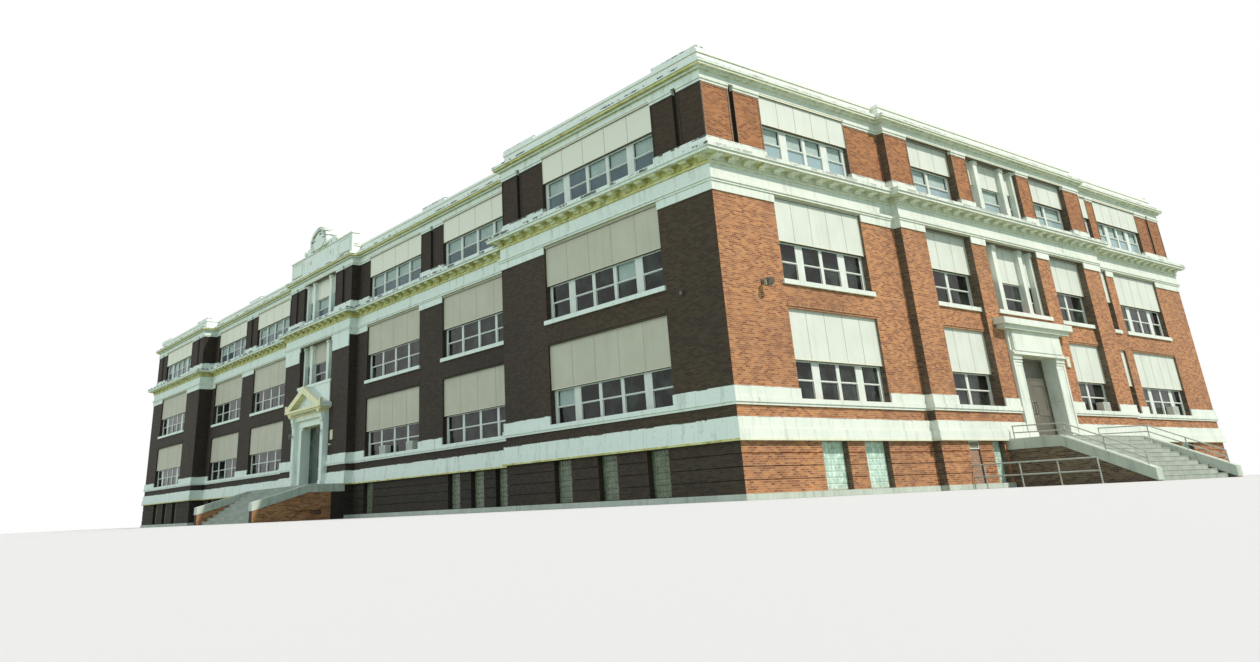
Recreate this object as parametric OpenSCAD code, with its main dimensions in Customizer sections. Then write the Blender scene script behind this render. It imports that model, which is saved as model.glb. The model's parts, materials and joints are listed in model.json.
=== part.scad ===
// School building of three storeys over a raised basement, as a scale model at 1:2.
// Every size is a millimetre of the model, so the real building measures twice as much.
// X runs along the front, Y from the front to the back and Z up. The front faces -Y.
// The origin is in the middle of the plan, on the ground.

/* [Front plan] */
// Width of the brick pier at the corner of an end pavilion
pav_pier = 1360; // [1100:10:1700]
// Width of the brick pier of an end pavilion beside the wing
pav_inner_pier = 1585; // [1300:5:1800]
// Width of the window bay of an end pavilion
pav_bay = 3445; // [3100:5:3700]
// Width of the brick strip between an end pavilion and the first wing bay
narrow_pier = 400; // [300:10:600]
// Width of each window bay of a wing
wing_bay = 3000; // [2600:10:3300]
// Width of the pier between the two wing bays
wing_pier = 1160; // [900:10:1400]
// Width of the wing pier beside the centre pavilion
inner_pier = 650; // [500:10:900]
// Width of each pier of the centre pavilion
centre_pier = 1170; // [1000:10:1400]
// Width of the centre bay over the front door
centre_bay = 2360; // [2200:10:2600]
// How far the wings stand back from the end pavilions
wing_back = 490; // [420:10:640]
// How far the centre pavilion stands out from the wings
centre_proud = 250; // [180:10:320]

/* [Side plan] */
// Width of each corner pier of a side
corner_pier = 1560; // [1300:10:1900]
// Width of the window bay at each end of a side
end_bay = 2500; // [2200:10:2900]
// Width of the pier between an end bay and the centre section
end_pier = 1090; // [960:10:1200]
// Width of the outer pier of the centre section
side_pier = 840; // [760:10:940]
// Width of the window bay beside the side entrance
side_bay = 1700; // [1500:10:1900]
// Width of the pier beside the entrance bay
door_pier = 580; // [450:10:750]
// Width of the entrance bay
door_bay = 2180; // [2100:10:2500]
// How far the centre section of a side stands out
side_proud = 160; // [100:10:240]
// How far the windows and brick between two piers beside the side entrance are recessed
recess_d = 105; // [80:5:110]

/* [Heights] */
// Height of the concrete base strip
base_h = 90; // [60:5:140]
// Height from the ground to the water table
basement_h = 860; // [800:10:960]
// Height of each of the two courses of the water table
water_h = 180; // [140:5:220]
// Height of the brick band between the water table and the sill course
band_h = 180; // [140:5:240]
// Height of the white sill course
sill_h = 120; // [90:5:150]
// Height of the white pier blocks above the sill course
block_h = 170; // [120:5:220]
// Height of the first storey's sash windows
win1_h = 650; // [560:10:760]
// Height of the closed panel over the first storey's windows
panel1_h = 865; // [700:5:950]
// Height of the brick between the first and second storey openings
spandrel_h = 415; // [360:5:500]
// Height of a second storey window sill
sill2_h = 85; // [60:5:110]
// Height of the second storey's sash windows
win2_h = 700; // [600:10:800]
// Height of the closed panel over the second storey's windows
panel2_h = 835; // [700:5:900]
// Height of the architrave moulding under the frieze
crown_h = 90; // [70:5:110]
// Height of the white pier caps under the architrave
cap_h = 155; // [120:5:200]
// Height of the plain frieze
frieze_h = 230; // [180:10:280]
// Height of the bed moulding and the brackets under the main cornice
bed_h = 150; // [120:5:180]
// Height of the cornice slab over the brackets
corona_h = 125; // [100:5:150]
// Height of the attic sill course
attic_sill_h = 135; // [110:5:170]
// Height of the attic pier blocks above the attic sill course
attic_block_h = 110; // [90:5:150]
// Height of the third storey's sash windows
win3_h = 650; // [560:10:740]
// Height of the closed panel over the third storey's windows
panel3_h = 610; // [500:10:700]
// Height of the attic pier caps
attic_cap_h = 100; // [70:5:130]
// Height of the attic architrave
attic_arch_h = 120; // [90:5:150]
// Height of the top cornice
top_h = 150; // [110:5:180]
// Height of the parapet over the top cornice
parapet_h = 295; // [240:5:340]
// Extra height of the parapet at the corners
parapet_step = 75; // [40:5:100]
// Height of the raised parapet over the centre, above the ordinary one
centre_rise = 365; // [310:5:400]

/* [Walls and floors] */
// Thickness of the outer walls
wall_t = 320; // [290:10:350]
// Thickness of a floor
floor_t = 150; // [110:5:180]
// Height of the first floor, and of both door sills, above the ground
first_floor = 890; // [860:5:930]
// Height from the first floor to the second
storey_h = 2230; // [2180:5:2260]
// How far the attic walls stand back from the walls below
attic_back = 100; // [80:5:110]
// Thickness of the brick fields on the attic piers
field_p = 60; // [40:5:75]
// Width of the slot between two brick fields
field_slot = 120; // [90:10:150]
// Depth of the panels behind the wall face
panel_set = 50; // [45:5:70]
// Depth of the closed panels, from their face to the window frames
panel_t = 65; // [50:5:90]
// Depth of the panels of the centre bays behind the wall face
centre_set = 220; // [195:5:230]
// Depth of the basement windows behind the wall face
base_win_set = 110; // [90:5:130]
// Thickness of the window frames
frame_t = 40; // [30:5:50]
// Thickness of the glass
glass_t = 6; // [4:1:10]
// Width of a narrow window mullion
mullion_w = 80; // [60:5:95]
// Width of a wide window mullion
post_w = 190; // [150:5:210]
// Height of a basement groove
groove_h = 16; // [10:2:24]
// Depth of a basement groove
groove_d = 20; // [10:2:30]

/* [Cornices] */
// Projection of the main cornice
cornice_p = 255; // [200:5:300]
// Spacing of the cornice brackets
bracket_gap = 400; // [340:10:480]
// Width of a cornice bracket
bracket_w = 165; // [130:5:190]
// Projection of the top cornice from the brick fields
top_p = 165; // [130:5:200]
// Projection of the water table
water_p = 60; // [45:5:80]

/* [Doors] */
// Clear width between the pilasters of a doorway
door_w = 1440; // [1380:10:1500]
// Thickness of the white lining of a doorway
lining_t = 60; // [45:5:75]
// Height of a doorway
door_h = 1700; // [1660:10:1740]
// Height of a door leaf
leaf_h = 1240; // [1150:10:1300]
// Thickness of a door leaf
leaf_t = 24; // [18:1:30]
// Width of a door frame post
jamb_w = 55; // [40:5:70]
// Clearance round a door leaf
leaf_gap = 6; // [5:0.5:8]
// Width of the front portal's pilasters
front_pil_w = 200; // [160:10:240]
// Projection of the front portal's pilasters
front_pil_p = 170; // [140:5:190]
// Width of the flat frame between the front doorway and its pilasters
front_arch_w = 230; // [190:10:250]
// Half width of the front portal's cornice
hood_half = 1310; // [1260:10:1400]
// Projection of the front portal's cornice
hood_p = 365; // [320:5:390]
// Width of the side portal's pilasters
side_pil_w = 370; // [330:5:390]
// Projection of the side portal's pilasters
side_pil_p = 50; // [40:5:70]
// Height of the side portal's flat hood
side_hood_h = 220; // [180:10:250]
// Height of the entablature over the front doorway
lintel_h = 390; // [340:10:420]
// Height of the front pediment over its cornice
pediment_h = 580; // [520:10:600]

/* [Steps] */
// Number of risers of each flight
risers = 10; // [8:1:12]
// Going of each tread
tread = 150; // [130:5:170]
// Depth of the front landing
front_landing = 1000; // [900:10:1100]
// Depth of the side landing
side_landing = 1050; // [950:10:1200]
// Thickness of the cheek walls
cheek_t = 210; // [170:10:260]
// Height of the concrete coping of the cheek walls
coping_h = 200; // [150:10:240]
// Outer width of the side steps
side_steps_w = 3820; // [3600:10:4100]

/* [Hidden] */

brick = "#6e3f32";
white = "#d8e0d4";
beige = "#c9c2ab";
concrete = "#8f9187";

// Plan: half lengths and the distances of the wall faces from the middle
pav_w = pav_inner_pier + pav_bay + pav_pier;
x_centre = centre_bay / 2 + centre_pier;
x_pav = x_centre + inner_pier + 2 * wing_bay + wing_pier + narrow_pier;
x_side = x_pav + pav_w;
y_break = door_bay / 2 + door_pier + side_bay + side_pier;
y_pav = y_break + end_pier + end_bay + corner_pier;
y_wing = y_pav - wing_back;
y_centre = y_wing + centre_proud;
x_door = x_side + side_proud;
x_recess = x_door - recess_d;
joint_y = y_wing - 1.05 * wall_t;

// Heights
z_water = basement_h;
z_band = z_water + 2 * water_h;
z_sill1 = z_band + band_h + sill_h;
z_panel1 = z_sill1 + win1_h;
z_head1 = z_panel1 + panel1_h;
z_sill2 = z_head1 + spandrel_h + sill2_h;
z_panel2 = z_sill2 + win2_h;
z_crown = z_panel2 + panel2_h;
z_frieze = z_crown + crown_h;
z_bed = z_frieze + frieze_h;
z_corona = z_bed + bed_h;
z_attic = z_corona + corona_h;
z_sill3 = z_attic + attic_sill_h;
z_panel3 = z_sill3 + win3_h;
z_arch = z_panel3 + panel3_h;
z_top = z_arch + attic_arch_h;
z_parapet = z_top + top_h;
z_crest = z_parapet + parapet_h;
second_floor = first_floor + storey_h;
third_floor = second_floor + storey_h;
door_head = first_floor + door_h;
rough_w = door_w + 2 * lining_t;
rough_head = door_head + lining_t;

// Heights over the doors: the cornice and pediment in front, the flat hood at the side
hood_t = 110;
z_hood = door_head + lintel_h;
z_apex = z_hood + hood_t + pediment_h;
side_hood_gap = 130;

// Each level: the bottom of the sashes, the bottom of the panel, the head of the opening
levels = [[z_sill1, z_panel1, z_head1], [z_sill2, z_panel2, z_crown], [z_sill3, z_panel3, z_arch]];

// The second storey window over the front door starts higher, above the pediment
sill2_centre = z_apex + 65 + sill2_h;
centre_levels = [levels[0], [sill2_centre, sill2_centre + win2_h - 50, z_crown], levels[2]];
function level(b, i) = len(b) > 4 ? b[4][i] : levels[i];
function set_back(b) = len(b) > 5 ? b[5] : panel_set;
centre_panel_t = 20;
function frame_at(b) = len(b) > 5 ? b[5] + centre_panel_t : panel_set + panel_t;

// Window patterns: the relative widths of the lights, and 1 where the post between two is wide
five_lights = [[1, 1, 1, 1, 1], [1, 0, 0, 1]];
four_lights = [[1, 1, 1, 1], [0, 0, 0]];
side_lights = [[1, 1, 1, 1], [1, 0, 1]];
two_lights = [[1, 1], [0]];
slit_light = [[1], []];
centre_lights = [[0.5, 1.3, 0.5], [1, 1]];

// Bays of a long side: left end, right end, distance of the wall face, pattern
pav_x = x_pav + pav_inner_pier;
wing_x1 = x_pav - narrow_pier - wing_bay;
wing_x2 = wing_x1 - wing_pier - wing_bay;
long_half = [
    [pav_x, pav_x + pav_bay, y_pav, five_lights],
    [wing_x1, wing_x1 + wing_bay, y_wing, four_lights],
    [wing_x2, wing_x2 + wing_bay, y_wing, four_lights]];
centre_window = [-centre_bay / 2, centre_bay / 2, y_centre, centre_lights, centre_levels, centre_set];
rear_window = [-centre_bay / 2, centre_bay / 2, y_centre, centre_lights];
function mirrored(bays) = [for (b = bays) [-b[1], -b[0], b[2], b[3]]];
long_bays = concat(long_half, mirrored(long_half));

// Bays of a short side, along Y
end_y = y_break + end_pier;
side_y = door_bay / 2 + door_pier;
short_half = [
    [end_y, end_y + end_bay, x_side, side_lights],
    [side_y, side_y + side_bay, x_recess, two_lights]];
slit_w = 315;
slit_y = y_break + 365;
slit_bay = [slit_y, slit_y + slit_w, x_side, slit_light];
short_bays = concat(short_half, mirrored(short_half));
door_window = [-door_bay / 2, door_bay / 2, x_door, centre_lights, levels, centre_set];
far_window = [-door_bay / 2, door_bay / 2, x_door, centre_lights];

// Basement windows, as [middle, width, distance of the wall face]
base_win_w = 530;
base_win_gap = 1320;
wing_win_gap = 1000;
end_win_w = 685;
end_win_gap = 1155;
pav_mid = x_pav + pav_w / 2;
wing_mid = wing_x1 + wing_bay / 2;
end_win_aside = 50;
end_mid = end_y + end_bay / 2 - end_win_aside;
long_half_base = [
    [pav_mid - base_win_gap, base_win_w, y_pav], [pav_mid, base_win_w, y_pav],
    [pav_mid + base_win_gap, base_win_w, y_pav], [wing_mid - wing_win_gap, base_win_w, y_wing],
    [wing_mid, base_win_w, y_wing], [wing_mid + wing_win_gap, base_win_w, y_wing],
    [wing_x2 + base_win_w / 2, base_win_w, y_wing]];
short_half_base = [
    [end_mid - end_win_gap / 2, end_win_w, x_side], [end_mid + end_win_gap / 2, end_win_w, x_side]];
section_win = [-side_y - side_bay / 3, 430, x_door];
infill_place = [-side_y - 0.85 * side_bay, 350, x_door];
function both(list) = concat(list, [for (m = list) [-m[0], m[1], m[2]]]);
long_base = both(long_half_base);
short_base = both(short_half_base);

// Outline of the plan, moved outwards by p
function quarter(p) = [
    [x_centre + p, y_centre + p], [x_centre + p, y_wing + p], [x_pav - p, y_wing + p],
    [x_pav - p, y_pav + p], [x_side + p, y_pav + p], [x_side + p, y_break + p], [x_door + p, y_break + p]];
function turned(list, sx, sy) = [for (q = list) [sx * q[0], sy * q[1]]];
function back_to_front(list) = [for (i = [len(list) - 1:-1:0]) list[i]];
function outline(p) = concat(
    turned(quarter(p), 1, -1), back_to_front(turned(quarter(p), 1, 1)),
    turned(quarter(p), -1, 1), back_to_front(turned(quarter(p), -1, -1)));

module ring(z0, z1, p0, p1) {
    translate([0, 0, z0])
        linear_extrude(z1 - z0)
            difference() {
                polygon(outline(p1));
                polygon(outline(p0));
            }
}

// Fine joints that part a course into straight lengths, beside each break of the outline
joint_gap = 0.4;
module long_joints(z0, z1, out) {
    for (m = [0, 1]) mirror([m, 0, 0]) {
        for (x = [x_centre + out, x_pav - out - joint_gap])
            translate([x, -y_pav - out, z0]) cube([joint_gap, y_pav - joint_y + out, z1 - z0]);
        for (x = [x_side - out - 2 * wall_t])
            translate([x, -joint_y, z0]) cube([2 * out + 3 * wall_t, joint_gap, z1 - z0]);
    }
}
module short_joints(z0, z1, out) {
    for (m = [0, 1]) mirror([m, 0, 0])
        translate([y_break + out, -x_door - out, z0]) cube([joint_gap, 2 * wall_t + 2 * out, z1 - z0]);
}
module course_joints(z0, z1, out) {
    for (a = [0, 180]) rotate([0, 0, a]) long_joints(z0, z1, out);
    for (a = [90, -90]) rotate([0, 0, a]) short_joints(z0, z1, out);
}

// A sheet drawn as seen from outside, set the given depth behind the wall face
module stand(depth, t) {
    translate([0, depth + t, 0]) rotate([90, 0, 0]) linear_extrude(t) children();
}

// Places what is drawn for a wall face on one of the four sides
module on_front(face) { translate([0, -face, 0]) children(); }
module on_side(face) { rotate([0, 0, 90]) translate([0, -face, 0]) children(); }
module on_rear(face) { rotate([0, 0, 180]) translate([0, -face, 0]) children(); }
module on_far_side(face) { rotate([0, 0, -90]) translate([0, -face, 0]) children(); }

module block(x0, x1, y0, y1, z0, z1) {
    translate([x0, y0, z0]) cube([x1 - x0, y1 - y0, z1 - z0]);
}

// Holes through the wall for the windows of the listed bays
module bay_holes(bays, storeys = [0, 1, 2]) {
    for (b = bays, i = storeys)
        block(b[0], b[1], -b[2] - recess_d - 1, -b[2] + wall_t + recess_d, level(b, i)[0], level(b, i)[2]);
}

module base_holes(places) {
    for (m = places)
        block(m[0] - m[1] / 2, m[0] + m[1] / 2, -m[2] - 1, -m[2] + wall_t + 1, base_h, z_water);
}

// Grooves of the banded basement and the set-back of the attic, cut from every wall
groove_step = (z_water - base_h) / 4;
module face_cuts() {
    for (i = [1:3])
        ring(base_h + i * groove_step, base_h + i * groove_step + groove_h, -groove_d, 1);
    ring(z_attic, z_parapet + 1, -attic_back, 1);
}

// Walls of a long side, drawn for the front
module pavilion_wall() {
    block(x_pav, x_side, -y_pav, -y_pav + wall_t, 0, z_parapet);
    block(x_pav, x_pav + wall_t, -y_pav + wall_t, -y_wing + wall_t, 0, z_parapet);
}
module wing_wall() {
    block(x_centre, x_pav, -y_wing, -y_wing + wall_t, 0, z_parapet);
}
module centre_wall(x0, x1, z0, z1) {
    block(x0, x1, -y_centre, -y_centre + wall_t, z0, z1);
    if (x1 == x_centre)
        block(x_centre - wall_t, x_centre, -y_centre + wall_t, -y_wing + wall_t, z0, z1);
}

// Walls of a short side, drawn on the -Y face before it is turned
module end_wall() {
    block(y_break, y_pav - wall_t, -x_side, -x_side + wall_t, 0, z_parapet);
}
module section_wall(y0, y1, z0, z1) {
    block(y0, y1, -x_door, -x_door + wall_t, z0, z1);
    if (y1 == y_break)
        block(y_break - wall_t, y_break, -x_door + wall_t, -x_side + wall_t, z0, z1);
}

module twice() {
    children();
    mirror([1, 0, 0]) children();
}

// Recess of the brickwork over and under the windows of the bays beside the side entrance
module side_recesses() {
    twice() block(side_y, side_y + side_bay, -x_door - 1, -x_recess, z_sill1, z_crown);
}

module front_pavilion_walls() {
    color(brick) difference() {
        twice() pavilion_wall();
        bay_holes([long_bays[0], long_bays[3]]);
        base_holes(long_base);
        face_cuts();
    }
}

module front_wing_walls() {
    color(brick) difference() {
        twice() wing_wall();
        bay_holes([long_bays[1], long_bays[2], long_bays[4], long_bays[5]]);
        base_holes(long_base);
        face_cuts();
    }
}

module front_door_piers() {
    color(brick) difference() {
        twice() centre_wall(rough_w / 2, x_centre, 0, rough_head);
        face_cuts();
    }
}

module front_wall_over_door() {
    color(brick) difference() {
        twice() centre_wall(0, x_centre, rough_head, z_parapet);
        bay_holes([centre_window], [1, 2]);
        face_cuts();
    }
}

module side_end_walls() {
    color(brick) difference() {
        rotate([0, 0, 90]) difference() {
            twice() end_wall();
            bay_holes(concat(short_bays, [slit_bay]));
            base_holes(short_base);
        }
        face_cuts();
    }
}

module side_door_piers() {
    color(brick) difference() {
        rotate([0, 0, 90]) difference() {
            twice() section_wall(rough_w / 2, y_break, 0, rough_head);
            bay_holes([short_half[1], mirrored(short_half)[1]], [0]);
            side_recesses();
            base_holes([section_win, infill_place]);
        }
        face_cuts();
    }
}

module side_wall_over_door() {
    color(brick) difference() {
        rotate([0, 0, 90]) difference() {
            twice() section_wall(0, y_break, rough_head, z_parapet);
            bay_holes(concat(short_bays, [door_window]), [1, 2]);
            bay_holes([short_half[1], mirrored(short_half)[1]], [0]);
            side_recesses();
        }
        face_cuts();
    }
}

module rear_walls() {
    color(brick) difference() {
        rotate([0, 0, 180]) difference() {
            twice() {
                pavilion_wall();
                wing_wall();
                centre_wall(0, x_centre, 0, z_parapet);
            }
            bay_holes(concat(long_bays, [rear_window]));
            base_holes(long_base);
        }
        face_cuts();
    }
}

module far_side_walls() {
    color(brick) difference() {
        rotate([0, 0, -90]) difference() {
            twice() {
                end_wall();
                section_wall(0, y_break, 0, z_parapet);
            }
            bay_holes(concat(short_bays, [far_window]));
            base_holes(short_base);
            side_recesses();
        }
        face_cuts();
    }
}

// Clear space of the portals and of the steps, cut from the lower courses
lip = 18;
module portal_gaps(z0, z1) {
    front_half = door_w / 2 + front_arch_w + front_pil_w;
    side_half = door_w / 2 + side_pil_w;
    block(-front_half, front_half, -y_pav, -y_centre + 1, z0, z1);
    block(x_door - 1, x_door + 2 * water_p, -side_half, side_half, z0, z1);
}
module step_gaps() {
    front_half = x_centre + 30;
    side_half = side_steps_w / 2 + lip;
    block(-front_half, front_half, -y_pav, -y_centre + 1, -1, first_floor);
    block(x_door - 1, x_door + 2 * water_p, -side_half, side_half, -1, first_floor);
}

module concrete_base() {
    color(concrete) difference() {
        ring(0, base_h, 0, 25);
        course_joints(-1, base_h + 1, 45);
        step_gaps();
    }
}

module water_table() {
    color(white) difference() {
        union() {
            ring(z_water, z_water + 25, 0, water_p + 12);
            ring(z_water + 25, z_water + water_h, 0, water_p);
            ring(z_water + water_h, z_band, 0, water_p - 22);
        }
        step_gaps();
        portal_gaps(z_water - 1, z_band + 1);
    }
}

// Cuts that leave a course only at the piers
clear_out = 170;
module between_piers(z0, z1, out) {
    for (b = concat(long_bays, [centre_window])) {
        block(b[0], b[1], -b[2] - out, -b[2] + wall_t, z0, z1);
        rotate([0, 0, 180]) block(b[0], b[1], -b[2] - out, -b[2] + wall_t, z0, z1);
    }
    for (b = concat(short_bays, [far_window])) {
        rotate([0, 0, 90]) block(b[0], b[1], -b[2] - out, -b[2] + wall_t, z0, z1);
        rotate([0, 0, -90]) block(b[0], b[1], -b[2] - out, -b[2] + wall_t, z0, z1);
    }
    rotate([0, 0, 90]) block(slit_y, slit_y + slit_w, -x_side - out, -x_side + wall_t, z0, z1);
}

module sill_course() {
    z0 = z_band + band_h;
    color(white) difference() {
        union() {
            ring(z0, z0 + 0.35 * sill_h, 0, 30);
            ring(z0 + 0.35 * sill_h, z_sill1, 0, 48);
            ring(z_sill1, z_sill1 + block_h, 0, 32);
        }
        between_piers(z_sill1, z_sill1 + block_h + 1, clear_out);
        portal_gaps(z0 - 1, z_sill1 + block_h + 1);
    }
}

function beyond(b, d) = b[2] == x_recess ? 0 : d;
module window_sill(b) {
    over = beyond(b, 50);
    stand(-42, 42) translate([b[0] - over, level(b, 1)[0] - sill2_h]) square([b[1] - b[0] + 2 * over, sill2_h]);
}

module window_sills() {
    color(white) {
        for (b = long_bays) {
            on_front(b[2]) window_sill(b);
            on_rear(b[2]) window_sill(b);
        }
        for (b = short_bays) {
            on_side(b[2]) window_sill(b);
            on_far_side(b[2]) window_sill(b);
        }
        on_side(slit_bay[2]) window_sill(slit_bay);
        on_front(y_centre) window_sill(centre_window);
        on_side(x_door) window_sill(door_window);
        on_rear(y_centre) window_sill(rear_window);
        on_far_side(x_door) window_sill(far_window);
    }
}

// Projecting brick course over each first storey opening
module brick_lintels() {
    color(brick) {
        for (b = long_bays) {
            on_front(b[2]) lintel_course(b);
            on_rear(b[2]) lintel_course(b);
        }
        for (b = short_bays) {
            on_side(b[2]) lintel_course(b);
            on_far_side(b[2]) lintel_course(b);
        }
    }
}
module lintel_course(b) {
    over = beyond(b, 15);
    stand(-14, 14) translate([b[0] - over, z_head1 + 35]) square([b[1] - b[0] + 2 * over, 65]);
}

module entablature() {
    color(white) {
        difference() {
            ring(z_crown - cap_h, z_crown, 0, 22);
            between_piers(z_crown - cap_h - 1, z_crown + 1, clear_out);
        }
        on_front(y_centre) for (m = [0, 1]) mirror([m, 0, 0])
            block(centre_bay / 2 + 60, x_centre, -22, 0, z_crown - cap_h - 320, z_crown - cap_h);
        ring(z_crown, z_crown + 0.45 * crown_h, 0, 40);
        ring(z_crown + 0.45 * crown_h, z_frieze, 0, 58);
        ring(z_frieze, z_bed, 0, 18);
    }
}

module main_cornice() {
    color(white) difference() {
        union() {
            ring(z_bed, z_bed + 0.25 * bed_h, 0, 45);
            ring(z_bed + 0.25 * bed_h, z_corona, 0, 30);
            ring(z_corona, z_corona + 0.45 * corona_h, 0, cornice_p - 25);
            ring(z_corona + 0.45 * corona_h, z_attic, 0, cornice_p);
        }
        course_joints(z_bed - 1, z_attic + 1, cornice_p + 15);
    }
}

// Scrolled brackets along one straight stretch of a wall face
module bracket_row(s0, s1, face) {
    n = max(1, round((s1 - s0 - bracket_w) / bracket_gap));
    step = (s1 - s0 - bracket_w) / n;
    h = 0.62 * bed_h;
    out = cornice_p - 60;
    for (i = [0:n])
        translate([s0 + i * step, -face - 30, z_corona])
            rotate([90, 0, 90]) linear_extrude(bracket_w)
                polygon([
                    [0, 0], [-out + 30, 0], [-out + 30, -0.28 * h], [-out + 48, -0.5 * h], [-out + 80, -0.52 * h],
                    [-0.45 * out, -0.42 * h], [-0.3 * out, -0.62 * h], [-0.2 * out, -h], [0, -h]]);
}

module long_brackets() {
    for (m = [0, 1]) mirror([m, 0, 0]) {
        bracket_row(x_pav, x_side, y_pav);
        bracket_row(x_centre + cornice_p, x_pav - cornice_p, y_wing);
    }
    bracket_row(-x_centre, x_centre, y_centre);
}

module short_brackets() {
    for (m = [0, 1]) mirror([m, 0, 0]) bracket_row(y_break + cornice_p, y_pav, x_side);
    bracket_row(-y_break, y_break, x_door);
}

module cornice_brackets() {
    color(white) {
        long_brackets();
        rotate([0, 0, 180]) long_brackets();
        rotate([0, 0, 90]) short_brackets();
        rotate([0, 0, -90]) short_brackets();
    }
}

module attic_base_course() {
    color(white) {
        ring(z_attic, z_sill3, -attic_back, 12);
        difference() {
            ring(z_sill3, z_sill3 + attic_block_h, -attic_back, -2);
            between_piers(z_sill3 - 1, z_sill3 + attic_block_h + 1, clear_out);
        }
    }
}

// Upright slots in the middle of the broad attic piers
module slot(s, face, z0, z1) {
    block(s - field_slot / 2, s + field_slot / 2, -face - 1, -face + attic_back, z0, z1);
}
module long_slots(z0, z1) {
    for (m = [0, 1]) mirror([m, 0, 0]) {
        slot(x_side - (pav_pier + attic_back - field_p) / 2, y_pav, z0, z1);
        slot(x_pav + (pav_pier + attic_back - field_p) / 2, y_pav, z0, z1);
        slot(wing_x1 - wing_pier / 2, y_wing, z0, z1);
        slot(x_centre - (centre_pier + attic_back - field_p) / 2, y_centre, z0, z1);
    }
}
module short_slots(z0, z1) {
    for (m = [0, 1]) mirror([m, 0, 0]) slot(y_pav - (corner_pier + attic_back - field_p) / 2, x_side, z0, z1);
}
module slots(z0, z1) {
    for (a = [0, 180]) rotate([0, 0, a]) long_slots(z0, z1);
    for (a = [90, -90]) rotate([0, 0, a]) short_slots(z0, z1);
}

module attic_pier_panels() {
    z0 = z_sill3 + attic_block_h;
    z1 = z_arch - attic_cap_h;
    color(brick) difference() {
        ring(z0, z1, -attic_back, -attic_back + field_p);
        between_piers(z0 - 1, z1 + 1, clear_out);
        slots(z0 - 1, z1 + 1);
    }
}

module top_cornice() {
    field_face = -attic_back + field_p;
    color(white) difference() {
        union() {
            difference() {
                union() {
                    ring(z_arch - attic_cap_h, z_arch - 0.5 * attic_cap_h, -attic_back, field_face + 16);
                    ring(z_arch - 0.5 * attic_cap_h, z_arch, -attic_back, field_face + 34);
                }
                between_piers(z_arch - attic_cap_h - 1, z_arch, clear_out);
                slots(z_arch - attic_cap_h - 1, z_arch);
            }
            ring(z_arch, z_top, -attic_back, field_face + 20);
            ring(z_top, z_top + 0.3 * top_h, -attic_back, field_face + top_p - 90);
            ring(z_top + 0.3 * top_h, z_top + 0.6 * top_h, -attic_back, field_face + top_p - 20);
            ring(z_top + 0.6 * top_h, z_parapet, -attic_back, field_face + top_p);
        }
        course_joints(z_arch - attic_cap_h - 1, z_parapet + 1, field_face + top_p + 15);
    }
}

parapet_t = 180;
parapet_p = -attic_back + field_p - 50;
module parapet() {
    p0 = parapet_p;
    color(white) difference() {
        parapet_body(p0);
        course_joints(z_parapet - 1, z_crest + parapet_step + 1, 120);
    }
}
module parapet_body(p0) {
        ring(z_parapet, z_crest - 60, p0 - parapet_t, p0);
        ring(z_crest - 60, z_crest, p0 - parapet_t, p0 + 20);
        for (r = [0, 180]) rotate([0, 0, r])
            for (m = [0, 1]) mirror([m, 0, 0]) {
                for (x = [x_pav, x_side - pav_pier])
                    block(x - p0, x + pav_pier + p0, -y_pav - p0 - 20, -y_pav - p0 + parapet_t,
                        z_crest, z_crest + parapet_step);
                block(wing_x2 + wing_bay, wing_x1, -y_wing - p0 - 20, -y_wing - p0 + parapet_t,
                    z_crest, z_crest + parapet_step);
            }
}

function oval(rx, rz, z, n) = [for (i = [0:n - 1]) [rx * cos(360 * i / n), z + rz * sin(360 * i / n)]];

// Raised parapet over the centre, with a plain oval shield between two scrolls
shield_w = 1240;
shield_h = 880;
crest_face = y_centre - 10;
crest_in = -parapet_p - 30;
scroll_w = 620;
scroll_r = 80;
module centre_crest() {
    w = x_centre - 50;
    z1 = z_crest + centre_rise;
    mid_z = z1 + 0.28 * shield_h;
    cope = 45;
    back = crest_in + 0.9 * parapet_t;
    color(white) on_front(crest_face) {
        block(-w, w, 0, crest_in, z_parapet, z_crest);
        block(-w, w, 0, back, z_crest, z1 - cope);
        block(-w - 20, w + 20, -25, back + 20, z1 - cope, z1);
        for (m = [0, 1]) mirror([m, 0, 0]) {
            block(w - 880, w - 120, -18, 0, z_parapet + 120, z1 - cope - 60);
            scroll_x = 0.5 * shield_w + scroll_w;
            stand(10, 0.8 * back) polygon([
                [0.35 * shield_w, z1], [scroll_x - 40, z1], [scroll_x, z1 + 60], [scroll_x - 25, z1 + 125],
                [scroll_x - 140, z1 + 160], [scroll_x - 240, z1 + 205], [scroll_x - 330, z1 + 218],
                [scroll_x - 450, z1 + 200], [scroll_x - 560, z1 + 165], [0.35 * shield_w, z1 + 190]]);
            translate([scroll_x - scroll_r, -30, z1 + scroll_r + 10]) rotate([-90, 0, 0])
                cylinder(r = scroll_r, h = back - 10, $fn = 32);
            translate([0.5 * shield_w + 130, -20, z1 + 110]) rotate([-90, 0, 0])
                cylinder(r = 0.8 * scroll_r, h = back - 20, $fn = 32);
        }
        stand(-50, back) difference() {
            polygon(oval(0.5 * shield_w, 0.5 * shield_h, mid_z, 48));
            translate([-shield_w, z1 - shield_h]) square([2 * shield_w, shield_h]);
        }
        stand(-100, 50) difference() {
            polygon(oval(0.5 * shield_w, 0.5 * shield_h, mid_z, 48));
            polygon(oval(0.5 * shield_w - 110, 0.5 * shield_h - 110, mid_z, 48));
            translate([-shield_w, z1 - shield_h]) square([2 * shield_w, shield_h]);
        }
        stand(-80, 30) difference() {
            polygon(oval(0.5 * shield_w - 200, 0.5 * shield_h - 190, mid_z, 48));
            translate([-shield_w, z1 - shield_h]) square([2 * shield_w, shield_h]);
        }
    }
}

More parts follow.
